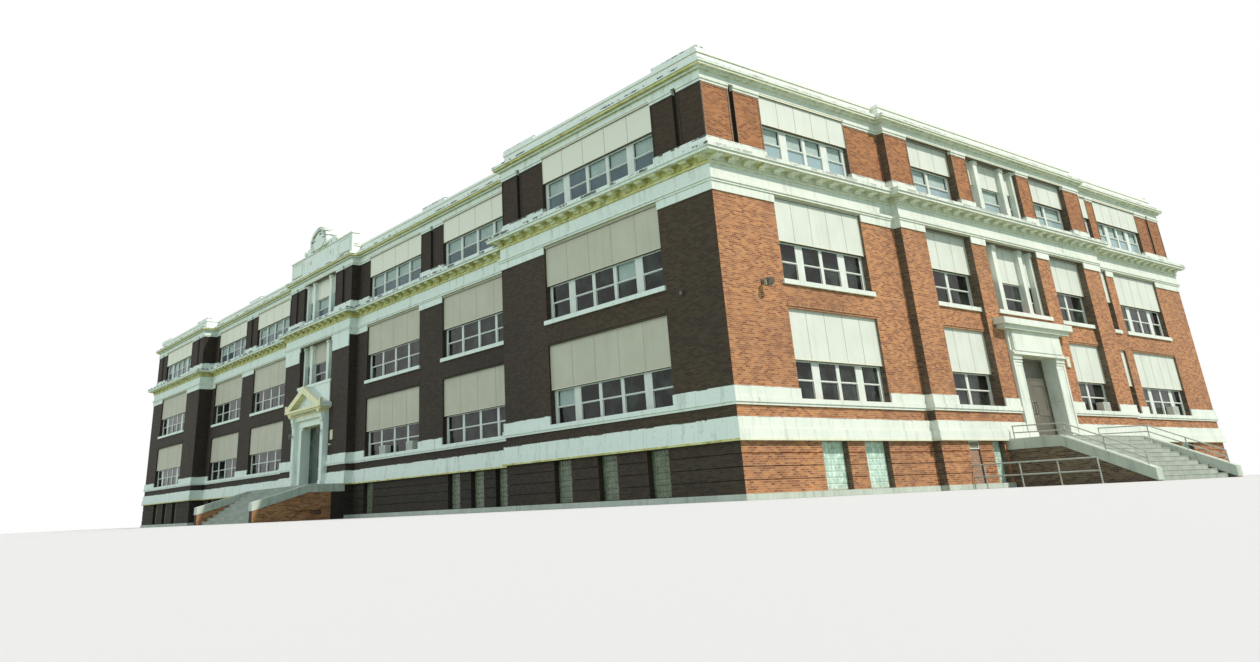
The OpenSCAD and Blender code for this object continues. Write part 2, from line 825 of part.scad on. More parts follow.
module slab(z1, t) {
    translate([0, 0, z1 - t]) linear_extrude(t) polygon(outline(-wall_t));
}
module roof_deck() { color(concrete) slab(z_top, floor_t); }
module ground_slab() { color(concrete) slab(floor_t / 2, floor_t / 2); }
module first_floor_slab() { color(concrete) slab(first_floor, floor_t); }
module second_floor_slab() { color(concrete) slab(second_floor, floor_t); }
module third_floor_slab() { color(concrete) slab(third_floor, floor_t); }

// Closed panel over the sashes of one bay
module bay_panel(b, i) {
    stand(set_back(b), frame_at(b) - set_back(b))
        translate([b[0], level(b, i)[1]]) square([b[1] - b[0], level(b, i)[2] - level(b, i)[1]]);
}

// Widths of the lights of a bay: where each light starts and ends
function total(list, n) = n <= 0 ? 0 : list[n - 1] + total(list, n - 1);
function post(flag) = flag == 1 ? post_w : mullion_w;
function posts(flags, n) = n <= 0 ? 0 : post(flags[n - 1]) + posts(flags, n - 1);
function lights(b) = let (
    r = b[3][0], f = b[3][1], n = len(r),
    glass_w = b[1] - b[0] - 2 * mullion_w - posts(f, len(f)), unit = glass_w / total(r, n))
    [for (k = [0:n - 1]) let (x0 = b[0] + mullion_w + unit * total(r, k) + posts(f, k)) [x0, x0 + unit * r[k]]];

rail_h = 14;
module bay_frame(b, i) {
    z0 = level(b, i)[0];
    z1 = level(b, i)[1];
    pane_h = (z1 - z0 - 3 * rail_h) / 2;
    stand(frame_at(b), frame_t) difference() {
        translate([b[0], z0]) square([b[1] - b[0], z1 - z0]);
        for (g = lights(b), k = [0, 1])
            translate([g[0], z0 + rail_h + k * (pane_h + rail_h)]) square([g[1] - g[0], pane_h]);
    }
}

module bay_glass(b, i) {
    stand(frame_at(b) + frame_t, glass_t)
        translate([b[0], level(b, i)[0]]) square([b[1] - b[0], level(b, i)[1] - level(b, i)[0]]);
}

// Draws one piece of every window of a side: 0 panel, 1 frame, 2 glass
module bay_piece(b, i, kind) {
    if (kind == 0) bay_panel(b, i);
    if (kind == 1) bay_frame(b, i);
    if (kind == 2) bay_glass(b, i);
}
module front_pieces(kind) {
    for (b = long_bays, i = [0, 1, 2]) on_front(b[2]) bay_piece(b, i, kind);
    for (i = [1, 2]) on_front(y_centre) bay_piece(centre_window, i, kind);
}
module side_pieces(kind) {
    for (b = concat(short_bays, [slit_bay]), i = [0, 1, 2]) on_side(b[2]) bay_piece(b, i, kind);
    for (i = [1, 2]) on_side(x_door) bay_piece(door_window, i, kind);
}
module rear_pieces(kind) {
    for (b = concat(long_bays, [rear_window]), i = [0, 1, 2]) on_rear(b[2]) bay_piece(b, i, kind);
    for (b = concat(short_bays, [far_window]), i = [0, 1, 2]) on_far_side(b[2]) bay_piece(b, i, kind);
}

module front_panels() { color(beige) front_pieces(0); }
module side_panels() { color(beige) side_pieces(0); }
module rear_panels() { color(beige) rear_pieces(0); }
module front_window_frames() { color("white") front_pieces(1); }
module side_window_frames() { color("white") side_pieces(1); }
module rear_window_frames() { color("white") rear_pieces(1); }
module front_glass() { color("#2e3a40") front_pieces(2); }
module side_glass() { color("#2e3a40") side_pieces(2); }
module rear_glass() { color("#2e3a40") rear_pieces(2); }

module base_window(m) {
    stand(base_win_set, glass_t * 8)
        translate([m[0] - m[1] / 2, base_h]) square([m[1], z_water - base_h]);
}

module basement_windows() {
    color("#8fb59a") {
        for (m = long_base) {
            on_front(m[2]) base_window(m);
            on_rear(m[2]) base_window(m);
        }
        for (m = short_base) {
            on_side(m[2]) base_window(m);
            on_far_side(m[2]) base_window(m);
        }
        on_side(x_door) base_window(section_win);
    }
}

// Lighter brick that fills an old basement window, with a framed vent over it
infill_set = 30;
module basement_infill() {
    vent_h = 150;
    color("#8d6a58") on_side(x_door) {
        stand(infill_set, 100)
            translate([infill_place[0] - infill_place[1] / 2, base_h])
                square([infill_place[1], z_water - base_h]);
        stand(infill_set - 20, 20) difference() {
            translate([infill_place[0] - infill_place[1] / 2, z_water - vent_h]) square([infill_place[1], vent_h]);
            translate([infill_place[0] - infill_place[1] / 2 + 22, z_water - vent_h + 22])
                square([infill_place[1] - 44, vent_h - 44]);
        }
    }
}

// White pilasters on the wide posts of the centre bays and narrow ones at their sides, over both doors
pil_w = 165;
pil_set = 120;
module bay_pilaster(s, w, b, i) {
    back = set_back(b);
    z0 = level(b, i)[0];
    z1 = level(b, i)[2];
    foot = frame_at(b);
    stand(pil_set, back - pil_set) translate([s, z0]) square([w, z1 - z0]);
    stand(back, foot - back) translate([s, z0]) square([w, level(b, i)[1] - z0]);
    stand(pil_set - 25, 25) translate([s, z1 - 110]) square([w, 110]);
    stand(pil_set - 25, 25) translate([s, z0]) square([w, 60]);
}
module bay_pilasters(b, i) {
    for (g = lights(b))
        if (g[0] > b[0] + mullion_w)
            bay_pilaster(g[0] - post_w / 2 - pil_w / 2, pil_w, b, i);
    bay_pilaster(b[0], mullion_w + 25, b, i);
    bay_pilaster(b[1] - mullion_w - 25, mullion_w + 25, b, i);
}

module centre_bay_pilasters() {
    color(white) for (i = [1, 2]) {
        on_front(y_centre) bay_pilasters(centre_window, i);
        on_side(x_door) bay_pilasters(door_window, i);
    }
}

// White lining of a doorway through the thickness of the wall
module door_lining() {
    for (m = [0, 1]) mirror([m, 0, 0])
        block(door_w / 2, rough_w / 2, 0, wall_t, first_floor, rough_head);
    block(-door_w / 2, door_w / 2, 0, wall_t, door_head, rough_head);
}

// Pilaster from x0 to x1, with a plinth, a neck ring and a capital
module portal_pilaster(x0, x1, p, z1) {
    block(x0, x1, -p, 0, first_floor, z1);
    block(x0, x1, -p - 20, -p, first_floor, first_floor + 140);
    block(x0, x1, -p - 14, -p, z1 - 150, z1 - 120);
    block(x0, x1, -p - 25, -p, z1 - 90, z1);
}

// Scrolled bracket as seen from the side: length out, then height down from the slab that it carries
module console(w, out, h) {
    rotate([90, 0, 90]) linear_extrude(w)
        polygon([
            [0, 0], [-out, 0], [-out, -0.2 * h], [-0.86 * out, -0.34 * h], [-0.6 * out, -0.42 * h],
            [-0.42 * out, -0.6 * h], [-0.4 * out, -0.84 * h], [-0.28 * out, -h], [0, -h]]);
}

arch_p = 40;
module front_portal() {
    inner = door_w / 2 + front_arch_w;
    half = inner + front_pil_w;
    z1 = z_hood + hood_t;
    console_w = front_pil_w - 40;
    horn = 130;
    color(white) on_front(y_centre) {
        door_lining();
        for (m = [0, 1]) mirror([m, 0, 0]) {
            portal_pilaster(inner, half, front_pil_p, door_head + 0.35 * lintel_h);
            block(door_w / 2, inner, -arch_p, 0, first_floor, door_head);
            block(inner - 50, inner, -arch_p - 18, -arch_p, first_floor, door_head + 50);
            translate([inner + 20, -front_pil_p, z_hood]) console(console_w, hood_p - front_pil_p - 50, 250);
            block(door_w / 2 - 70, door_w / 2, -arch_p, arch_p, door_head - 80, door_head);
            block(hood_half - 90, hood_half, -hood_p, -hood_p + 90, z1 + 40, z1 + 40 + horn);
        }
        block(-inner, inner, -arch_p, 0, door_head, z_hood);
        block(-inner + 50, inner - 50, -arch_p - 18, -arch_p, door_head, door_head + 50);
        for (m = [0, 1]) mirror([m, 0, 0])
            block(inner, half, -front_pil_p, 0, door_head + 0.35 * lintel_h, z_hood);
        block(-inner, inner, -front_pil_p + 40, -arch_p, door_head + 0.5 * lintel_h, z_hood);
        block(-hood_half + 60, hood_half - 60, -hood_p + 60, 0, z_hood, z_hood + 0.4 * hood_t);
        block(-hood_half, hood_half, -hood_p, 0, z_hood + 0.4 * hood_t, z1);
        stand(-front_pil_p, front_pil_p)
            polygon([[-hood_half + 200, z1], [hood_half - 200, z1], [0, z_apex - 90]]);
        stand(-hood_p, hood_p) difference() {
            polygon([
                [-hood_half, z1], [hood_half, z1], [hood_half, z1 + 40], [90, z_apex], [90, z_apex + 50],
                [-90, z_apex + 50], [-90, z_apex], [-hood_half, z1 + 40]]);
            polygon([[-hood_half + 330, z1 - 1], [hood_half - 330, z1 - 1], [0, z_apex - 150]]);
        }
        block(-centre_bay / 2, centre_bay / 2, -25, 0, z_hood, sill2_centre - sill2_h);
    }
}

module side_portal() {
    half = door_w / 2 + side_pil_w;
    over = 360;
    z1 = z_sill2 - sill2_h - side_hood_gap;
    z0 = z1 - side_hood_h;
    shelf_h = 80;
    color(white) on_side(x_door) {
        door_lining();
        for (m = [0, 1]) mirror([m, 0, 0]) {
            portal_pilaster(door_w / 2, half, side_pil_p, door_head);
            block(half - 60, half, -side_pil_p - 15, -side_pil_p, first_floor + 140, door_head - 150);
        }
        block(-half, half, -side_pil_p, 0, door_head, z0);
        block(-half, half, -side_pil_p - 70, -side_pil_p, door_head, door_head + 0.5 * shelf_h);
        block(-half, half, -side_pil_p - 45, -side_pil_p, door_head + 0.5 * shelf_h, door_head + shelf_h);
        block(-half + 80, half - 80, -side_pil_p - 60, -side_pil_p, door_head + shelf_h, z0);
        block(-half - over + 90, half + over - 90, -side_pil_p - 130, 0, z0, z0 + 0.4 * side_hood_h);
        block(-half - over, half + over, -side_pil_p - 200, 0, z0 + 0.4 * side_hood_h, z1);
    }
}

// Door frame with a transom, set at the back of the wall's thickness
door_set = wall_t - 70;
leaf_z = first_floor + leaf_gap;
meeting_gap = 8;
leaf_w = door_w / 2 - jamb_w - leaf_gap - meeting_gap / 2;
knuckle_r = 9;
knuckle_h = 60;
hinge_in = 180;
hinge_z = [leaf_z + hinge_in, leaf_z + leaf_h - hinge_in];
pin_x = door_w / 2 - jamb_w - leaf_gap / 2;
pin_gap = 0.5;

module hinge_part(z, h, out) {
    translate([pin_x, door_set - knuckle_r, z]) cylinder(r = knuckle_r, h = h, $fn = 24);
    x0 = out ? pin_x : pin_x - 42;
    block(x0, x0 + 42, door_set - 4, door_set, z, z + h);
}

module door_frame() {
    transom_z = leaf_z + leaf_h + leaf_gap;
    for (m = [0, 1]) mirror([m, 0, 0]) {
        difference() {
            block(door_w / 2 - jamb_w, door_w / 2, door_set, door_set + 70, first_floor, door_head);
            translate([pin_x, door_set - knuckle_r, first_floor]) cylinder(r = knuckle_r + 1, h = door_h, $fn = 24);
        }
        for (z = hinge_z) {
            hinge_part(z - knuckle_h - pin_gap, knuckle_h, true);
            hinge_part(z + knuckle_h + pin_gap, knuckle_h, true);
        }
    }
    inner = door_w / 2 - jamb_w;
    block(-inner, inner, door_set, door_set + 70, transom_z, transom_z + 60);
    block(-inner, inner, door_set, door_set + 70, door_head - 60, door_head);
    block(-inner, inner, door_set + 30, door_set + 36, transom_z + 60, door_head - 60);
}

// Right leaf seen from outside: stiles and rails round a glazed upper light and a solid lower panel
module door_leaf() {
    x1 = door_w / 2 - jamb_w - leaf_gap;
    x0 = x1 - leaf_w;
    stile = 95;
    difference() {
        block(x0, x1, door_set, door_set + leaf_t, leaf_z, leaf_z + leaf_h);
        block(x0 + stile, x1 - stile, door_set - 1, door_set + 8, leaf_z + 0.5 * leaf_h, leaf_z + leaf_h - stile);
        block(x0 + stile, x1 - stile, door_set - 1, door_set + 8, leaf_z + 1.5 * stile, leaf_z + 0.42 * leaf_h);
    }
    for (z = hinge_z) hinge_part(z, knuckle_h, false);
    pull_h = 260;
    for (z = [leaf_z + 0.42 * leaf_h, leaf_z + 0.42 * leaf_h + pull_h - 16])
        block(x0 + 30, x0 + 46, door_set - 30, door_set, z, z + 16);
    block(x0 + 30, x0 + 46, door_set - 42, door_set - 30, leaf_z + 0.42 * leaf_h, leaf_z + 0.42 * leaf_h + pull_h);
}

module front_door_frame() { color("#3f5a4e") on_front(y_centre) door_frame(); }
module front_door_right_leaf() { color("#3f5a4e") on_front(y_centre) door_leaf(); }
module front_door_left_leaf() { color("#3f5a4e") on_front(y_centre) mirror([1, 0, 0]) door_leaf(); }
module side_door_frame() { color("#5c5546") on_side(x_door) door_frame(); }
module side_door_right_leaf() { color("#5c5546") on_side(x_door) door_leaf(); }
module side_door_left_leaf() { color("#5c5546") on_side(x_door) mirror([1, 0, 0]) door_leaf(); }

// Flight of steps down from a landing, drawn in front of a wall face
module flight(width, landing) {
    rise = first_floor / risers;
    rotate([90, 0, 90]) translate([0, 0, -width / 2]) linear_extrude(width)
        polygon(concat(
            [[0, 0], [0, first_floor], [-landing, first_floor]],
            [for (i = [1:risers - 1], k = [0, 1])
                [-landing - (i - 1 + k) * tread, first_floor - i * rise]],
            [[-landing - (risers - 1) * tread, 0]]));
    block(-rough_w / 2, rough_w / 2, 0, wall_t, 0, first_floor);
}

// Cheek wall and its coping as seen from the side: length out, then height
foot = 150;
module cheek_profile(landing, drop, z_end, raise) {
    run = (risers - 1) * tread + foot;
    polygon([
        [0, 0], [0, first_floor - drop + raise], [-landing, first_floor - drop + raise],
        [-landing - run, z_end - drop + raise], [-landing - run, 0]]);
}

module cheeks(half, landing, z_end) {
    for (m = [0, 1]) mirror([m, 0, 0])
        rotate([90, 0, 90]) translate([0, 0, half - cheek_t]) linear_extrude(cheek_t)
            cheek_profile(landing, coping_h, z_end, 0);
}

module copings(half, landing, z_end) {
    for (m = [0, 1]) mirror([m, 0, 0]) coping_bar(half, landing, z_end);
}
module coping_bar(half, landing, z_end) {
    run = (risers - 1) * tread + foot;
    rotate([90, 0, 90]) translate([0, 0, half - cheek_t - lip]) linear_extrude(cheek_t + 2 * lip)
        polygon([
            [0, first_floor - coping_h], [0, first_floor], [-landing, first_floor],
            [-landing - run - lip, z_end], [-landing - run - lip, z_end - coping_h],
            [-landing - run, z_end - coping_h], [-landing, first_floor - coping_h]]);
}

front_steps_w = 2 * x_centre;
front_end_z = 480;
side_end_z = 215;
module front_steps() {
    color(concrete) on_front(y_centre) flight(front_steps_w - 2 * cheek_t - 36, front_landing);
}
grille_l = 700;
grille_h = 110;
module front_cheek_walls() {
    color(brick) on_front(y_centre) difference() {
        cheeks(front_steps_w / 2, front_landing, front_end_z);
        block(front_steps_w / 2 - 40, front_steps_w / 2 + 1, -front_landing - 0.5 * grille_l,
            -front_landing + 0.5 * grille_l, 135, 135 + grille_h);
    }
}
module front_copings() { color(concrete) on_front(y_centre) copings(front_steps_w / 2, front_landing, front_end_z); }
module side_steps() { color(concrete) on_side(x_door) flight(side_steps_w - 2 * cheek_t - 36, side_landing); }
module side_cheek_walls() { color(brick) on_side(x_door) cheeks(side_steps_w / 2, side_landing, side_end_z); }
module side_copings() { color(concrete) on_side(x_door) copings(side_steps_w / 2, side_landing, side_end_z); }

// Pipe rails
pipe_r = 12;
module pipe(a, b) {
    d = b - a;
    length = norm(d);
    translate(a) rotate([0, acos(d[2] / length), atan2(d[1], d[0])]) cylinder(r = pipe_r, h = length, $fn = 12);
}

rail_up = 250;
module stair_rails() {
    run = (risers - 1) * tread + foot;
    fall = (first_floor - side_end_z) / run;
    x = side_steps_w / 2 - cheek_t / 2;
    y0 = -2 * water_p;
    y1 = -side_landing - 60;
    y2 = -side_landing - run + 120;
    z1 = first_floor - 60 * fall;
    z2 = side_end_z + 120 * fall;
    color("#8b8f8a") on_side(x_door)
        for (m = [0, 1]) mirror([m, 0, 0]) {
            difference() {
                for (t = [0, 0.5, 1]) {
                    zz = z1 + t * (z2 - z1);
                    translate([x, y1 + t * (y2 - y1), zz - 2 * pipe_r])
                        cylinder(r = pipe_r, h = rail_up + 2 * pipe_r, $fn = 12);
                }
                coping_bar(side_steps_w / 2, side_landing, side_end_z);
            }
            translate([x, y0, first_floor]) cylinder(r = pipe_r, h = rail_up, $fn = 12);
            for (t = [0.5, 1]) {
                pipe([x, y0, first_floor + t * rail_up - pipe_r], [x, y1, z1 + t * rail_up - pipe_r]);
                pipe([x, y1, z1 + t * rail_up - pipe_r], [x, y2, z2 + t * rail_up - pipe_r]);
            }
        }
}

// Pipe rail that runs out from the wall beside the bricked-up window
guard_l = 2260;
guard_h = 420;
module guard_rail() {
    s = infill_place[0] - infill_place[1] / 2 - 2 * pipe_r;
    color("#b9bcb4") on_side(x_door) {
        for (t = [0.1, 0.4, 0.7, 1])
            translate([s, -t * guard_l, 0]) cylinder(r = pipe_r, h = guard_h + pipe_r, $fn = 12);
        for (z = [0.5 * guard_h, guard_h]) pipe([s, 0, z], [s, -guard_l, z]);
    }
}

// Floodlight near the corner, its small neighbour in front, two lanterns and a wall light
module wall_lights() {
    light_z = z_head1 + 0.95 * spandrel_h;
    lantern_z = door_head - 230;
    color("#6f6a5e") {
        on_side(x_side) translate([-y_pav + 975, 0, light_z]) {
            block(-35, 35, -20, 0, -40, 40);
            block(-12, 12, -110, -20, -12, 12);
            translate([0, -100, 10]) rotate([115, 0, 0]) cylinder(r1 = 45, r2 = 75, h = 110, $fn = 24);
        }
        on_front(y_pav) translate([x_side - 915, 0, light_z - 110]) {
            block(-30, 30, -60, 0, -35, 35);
        }
        on_front(y_centre) for (m = [0, 1]) mirror([m, 0, 0])
            translate([door_w / 2 + front_arch_w + 0.5 * front_pil_w, -front_pil_p, lantern_z]) {
                block(-12, 12, -90, 0, -8, 8);
                translate([0, -90, -70]) cylinder(r1 = 30, r2 = 48, h = 120, $fn = 6);
                translate([0, -90, 50]) cylinder(r1 = 52, r2 = 8, h = 45, $fn = 6);
            }
        on_side(x_door) translate([door_bay / 2 + 0.5 * door_pier, 0, door_head - 42])
            block(-75, 75, -30, 0, -115, 115);
    }
}

// Window air conditioners in the lower sashes of the first storey
unit_w = 330;
unit_h = 210;
unit_d = 160;
module unit(b, k) {
    g = lights(b)[k];
    x = (g[0] + g[1] - unit_w) / 2;
    front = frame_at(b) - unit_d;
    z = level(b, 0)[0];
    difference() {
        block(x, x + unit_w, front, frame_at(b), z, z + unit_h);
        for (i = [0:5])
            block(x + 20, x + unit_w - 20, front - 1, front + 12, z + 22 + i * 29, z + 22 + i * 29 + 14);
    }
}
module air_conditioners() {
    color("#cfd0c6") {
        on_front(y_wing) unit(long_half[2], 1);
        on_front(y_wing) unit(long_half[2], 3);
        on_side(x_recess) unit(short_half[1], 1);
        on_side(x_side) unit(short_half[0], 2);
    }
}

front_pavilion_walls();
front_wing_walls();
front_door_piers();
front_wall_over_door();
side_end_walls();
side_door_piers();
side_wall_over_door();
rear_walls();
far_side_walls();
concrete_base();
water_table();
sill_course();
window_sills();
entablature();
main_cornice();
cornice_brackets();
attic_base_course();
attic_pier_panels();
top_cornice();
parapet();
centre_crest();
brick_lintels();
roof_deck();
ground_slab();
first_floor_slab();
second_floor_slab();
third_floor_slab();
front_panels();
side_panels();
rear_panels();
front_window_frames();
side_window_frames();
rear_window_frames();
front_glass();
side_glass();
rear_glass();
basement_windows();
basement_infill();
centre_bay_pilasters();
front_portal();
side_portal();
front_door_frame();
front_door_left_leaf();
front_door_right_leaf();
side_door_frame();
side_door_left_leaf();
side_door_right_leaf();
front_steps();
front_cheek_walls();
front_copings();
side_steps();
side_cheek_walls();
side_copings();
stair_rails();
guard_rail();
wall_lights();
air_conditioners();
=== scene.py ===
import json
import math
import random

import bpy
from mathutils import Matrix, Vector


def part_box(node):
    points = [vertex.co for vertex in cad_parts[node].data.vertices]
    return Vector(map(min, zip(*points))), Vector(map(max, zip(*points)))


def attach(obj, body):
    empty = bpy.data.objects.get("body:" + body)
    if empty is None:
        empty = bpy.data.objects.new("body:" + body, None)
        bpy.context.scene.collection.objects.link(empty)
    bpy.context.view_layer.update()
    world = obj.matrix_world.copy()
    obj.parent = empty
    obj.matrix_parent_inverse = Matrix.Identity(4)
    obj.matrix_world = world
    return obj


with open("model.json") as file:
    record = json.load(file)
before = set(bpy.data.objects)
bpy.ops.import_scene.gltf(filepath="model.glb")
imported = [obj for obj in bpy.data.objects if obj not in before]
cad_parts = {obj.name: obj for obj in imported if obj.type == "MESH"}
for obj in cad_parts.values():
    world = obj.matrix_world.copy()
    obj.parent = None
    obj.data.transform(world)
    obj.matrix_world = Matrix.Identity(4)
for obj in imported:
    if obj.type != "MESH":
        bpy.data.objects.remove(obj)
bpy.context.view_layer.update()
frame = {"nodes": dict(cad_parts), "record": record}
scene = bpy.context.scene
scene.view_settings.view_transform = "Standard"


class Look(dict):  # a dictionary whose values are also read as look.name
    __getattr__ = dict.__getitem__


# Camera
cameraPlace = Look(
    place=(27.1584, -20.5615, 0.03),
    right=(0.59320945, 0.80384627, -0.04397413),
    down=(-0.31355277, 0.1803906, -0.93227887),
    ahead=(-0.74147637, 0.56682484, 0.35905763),
    lens=26.5794,
    sensor=36.0,
    shift=(0.06364, -0.14418),
    clip=(0.05, 500.0),
)


def makeCamera(look):
    data = bpy.data.cameras.new("photoCamera")
    data.sensor_width = look.sensor
    data.lens = look.lens
    data.shift_x, data.shift_y = look.shift
    data.clip_start, data.clip_end = look.clip
    camera = bpy.data.objects.new("photoCamera", data)
    right, down, ahead = Vector(look.right), Vector(look.down), Vector(look.ahead)
    turn = Matrix((right, -down, -ahead)).transposed().to_4x4()
    camera.matrix_world = Matrix.Translation(look.place) @ turn
    scene.collection.objects.link(camera)
    scene.camera = camera


makeCamera(cameraPlace)


# Node helpers
class Wiring:  # the nodes of the background or of one material
    def __init__(self, owner):
        owner.use_nodes = True
        self.nodes, self.links = owner.node_tree.nodes, owner.node_tree.links

    def feed(self, socket, value):
        # A number, a colour or vector, or what another node gives
        if isinstance(value, (int, float)):
            socket.default_value = value
        elif isinstance(value, tuple):
            socket.default_value = (*value, 1)[:len(socket.default_value)]
        else:
            self.links.new(value, socket)

    def node(self, kind, inputs, output=0, **settings):
        made = self.nodes.new("ShaderNode" + kind)
        for key, value in settings.items():
            setattr(made, key, value)
        for key, value in inputs.items():
            self.feed(made.inputs[key], value)
        return made.outputs[output]

    def math(self, operation, *values):
        return self.node("Math", dict(enumerate(values)), operation=operation)

    def times(self, first, second):
        return self.math("MULTIPLY", first, second)

    def either(self, first, second):
        return self.math("MAXIMUM", first, second)

    def over(self, value, limit):
        return self.math("GREATER_THAN", value, limit)

    def under(self, value, limit):
        return self.math("LESS_THAN", value, limit)

    def between(self, value, low, high):
        return self.times(self.over(value, low), self.under(value, high))

    def blend(self, factor, first, second, kind="MIX"):
        return self.node("Mix", {0: factor, 6: first, 7: second}, 2, data_type="RGBA", blend_type=kind)

    def seenDirectly(self):
        # 1 for the camera, mirror-like surfaces and glass, 0 for soft light
        path = self.nodes.new("ShaderNodeLightPath").outputs
        seen = self.either(path["Is Camera Ray"], path["Is Glossy Ray"])
        return self.either(seen, path["Is Transmission Ray"])


# Light, floor and background
studio = Look(
    sunStrength=3.3,
    sunColour=(1.0, 0.96, 0.88),
    sunFrom=(0.62, 0.25, 0.70),  # direction towards the lamp
    sunAngle=0.8,
    fillStrength=0.55,
    fillColour=(1.0, 1.0, 1.0),
    fillFrom=(-0.25, -0.85, 0.35),
    fillAngle=40.0,
    worldStrength=0.60,
    worldColour=(0.78, 0.97, 0.98),
    worldSeen=(1.0, 1.0, 1.0),
    floorSize=400.0,
    floorHeight=-0.002,
    floorRoughness=0.95,
    floorSeen=(0.64, 0.61, 0.62),
    floorBounce=(0.25, 0.34, 0.28),  # what the floor throws back on the walls
)


def primitive(name, add, scale=(1, 1, 1), **settings):
    # A new primitive, alone in the selection, its place and size in its mesh
    bpy.ops.object.select_all(action="DESELECT")
    add(**settings)
    piece = bpy.context.object
    piece.name = name
    piece.scale = scale
    bpy.ops.object.transform_apply(location=True, rotation=True, scale=True)
    return piece


def makeLamp(name, strength, colour, towards, angle):
    data = bpy.data.lights.new(name, "SUN")
    data.energy = strength
    data.color = colour
    data.angle = math.radians(angle)
    lamp = bpy.data.objects.new(name, data)
    lamp.rotation_euler = Vector(towards).to_track_quat("Z", "Y").to_euler()
    scene.collection.objects.link(lamp)


def makeWorld(look):
    scene.world = bpy.data.worlds.new("studioWorld")
    wiring = Wiring(scene.world)
    wiring.nodes.clear()
    out = wiring.nodes.new("ShaderNodeOutputWorld")
    lit = wiring.node("Background", {"Color": look.worldColour, "Strength": look.worldStrength})
    seen = wiring.node("Background", {"Color": look.worldSeen, "Strength": 1.0})
    both = wiring.node("MixShader", {0: wiring.seenDirectly(), 1: lit, 2: seen})
    wiring.feed(out.inputs["Surface"], both)


def makeFloor(look):
    floor = primitive("studioFloor", bpy.ops.mesh.primitive_plane_add, size=look.floorSize,
                      location=(0, 0, look.floorHeight))
    paint = bpy.data.materials.new("floorPaint")
    wiring = Wiring(paint)
    shader = wiring.nodes["Principled BSDF"]
    shader.inputs["Roughness"].default_value = look.floorRoughness
    colour = wiring.blend(wiring.seenDirectly(), look.floorBounce, look.floorSeen)
    wiring.feed(shader.inputs["Base Color"], colour)
    floor.data.materials.append(paint)


makeLamp("sunLamp", studio.sunStrength, studio.sunColour, studio.sunFrom, studio.sunAngle)
makeLamp("fillLamp", studio.fillStrength, studio.fillColour, studio.fillFrom, studio.fillAngle)
makeWorld(studio)
makeFloor(studio)
print("stage: camera, light and floor are in place")

# How far a face turns before it counts as looking some way
facing = Look(soft=(0.5, 0.8), sideways=0.6, level=0.7, straight=0.99)

# Where the front's walls, jambs and returns lie; the front lies in shade, and its tones of its own are
# painted shade and painted light
frontZone = Look(ahead=-9.50, back=-7.90, end=16.90)


class Finish(Wiring):  # one material while its colour is being built up in layers
    def __init__(self, name, roughness):
        self.material = bpy.data.materials.new(name)
        super().__init__(self.material)
        self.shader = self.nodes["Principled BSDF"]
        self.shader.inputs["Roughness"].default_value = roughness
        self.place = self.nodes.new("ShaderNodeTexCoord").outputs["Object"]
        self.where = self.axes(self.place)
        self.way = self.axes(self.nodes.new("ShaderNodeNewGeometry").outputs["Normal"])

    def axes(self, vector):
        return self.node("SeparateXYZ", {0: vector}).node.outputs

    def vector(self, x, y):
        return self.node("CombineXYZ", {0: x, 1: y})

    def pick(self, factor, first, second):
        return self.node("Mix", {0: factor, 2: first, 3: second})

    def stretched(self, x, y, z):
        return self.node("Mapping", {"Vector": self.place, "Scale": (x, y, z)})

    def noise(self, scale, detail=3.0, roughness=0.55, place=None):
        place = self.place if place is None else place
        grain = {"Scale": scale, "Detail": detail, "Roughness": roughness}
        return self.node("TexNoise", {"Vector": place, **grain}, "Fac")

    def ramp(self, factor, low, high, start=0.0, end=1.0):
        spread = {"From Min": low, "From Max": high, "To Min": start, "To Max": end}
        return self.node("MapRange", {"Value": factor, **spread})

    def patches(self, noise, spread, stretch=None):
        # Noise of a scale, detail and roughness, spread from low to high
        place = self.stretched(*stretch) if stretch else None
        return self.ramp(self.noise(*noise, place=place), *spread)

    def towards(self, axis, sign):
        # 1 on faces that look along an axis
        return self.ramp(self.way[axis], facing.soft[0] * sign, facing.soft[1] * sign)

    def wallPlace(self):
        # Along the wall and up it, on every wall; across on level faces
        sideways = self.over(self.math("ABSOLUTE", self.way[0]), facing.sideways)
        level = self.over(self.math("ABSOLUTE", self.way[2]), facing.level)
        along = self.pick(sideways, self.where[0], self.where[1])
        return along, self.pick(level, self.where[2], self.where[1])

    def onFront(self):
        # 1 on the front's faces and on the jambs and returns inside its own depth
        near = self.between(self.where[1], frontZone.ahead, frontZone.back)
        near = self.times(near, self.under(self.math("ABSOLUTE", self.where[0]), frontZone.end))
        ahead = self.times(self.towards(1, -1), self.under(self.where[1], frontZone.back))
        return self.either(ahead, near)

    def courses(self, place, width, height, joint, offset, more):
        # Bricks or blocks in rows: their colours, and 1 in the joints
        size = {"Scale": 1.0, "Brick Width": width, "Row Height": height, "Mortar Size": joint}
        laid = self.node("TexBrick", {"Vector": place, **size, **more}, "Color", offset=offset)
        return laid, laid.node.outputs["Fac"]

    def start(self, patches, first, second):
        self.tone = self.blend(self.patches(*patches), first, second)

    def layer(self, factor, colour, kind="MIX"):
        self.tone = self.blend(factor, self.tone, colour, kind)

    def shade(self, factor, colour):
        self.layer(factor, colour, "MULTIPLY")

    def bump(self, height, distance, strength):
        made = self.node("Bump", {"Height": height, "Distance": distance, "Strength": strength})
        self.feed(self.shader.inputs["Normal"], made)

    def relief(self, joints, noise, share, distance, strength):
        # Grain stands up a little, joints lie deep
        self.bump(self.math("SUBTRACT", self.times(self.noise(*noise), share), joints), distance, strength)

    def done(self):
        self.feed(self.shader.inputs["Base Color"], self.tone)
        return self.material


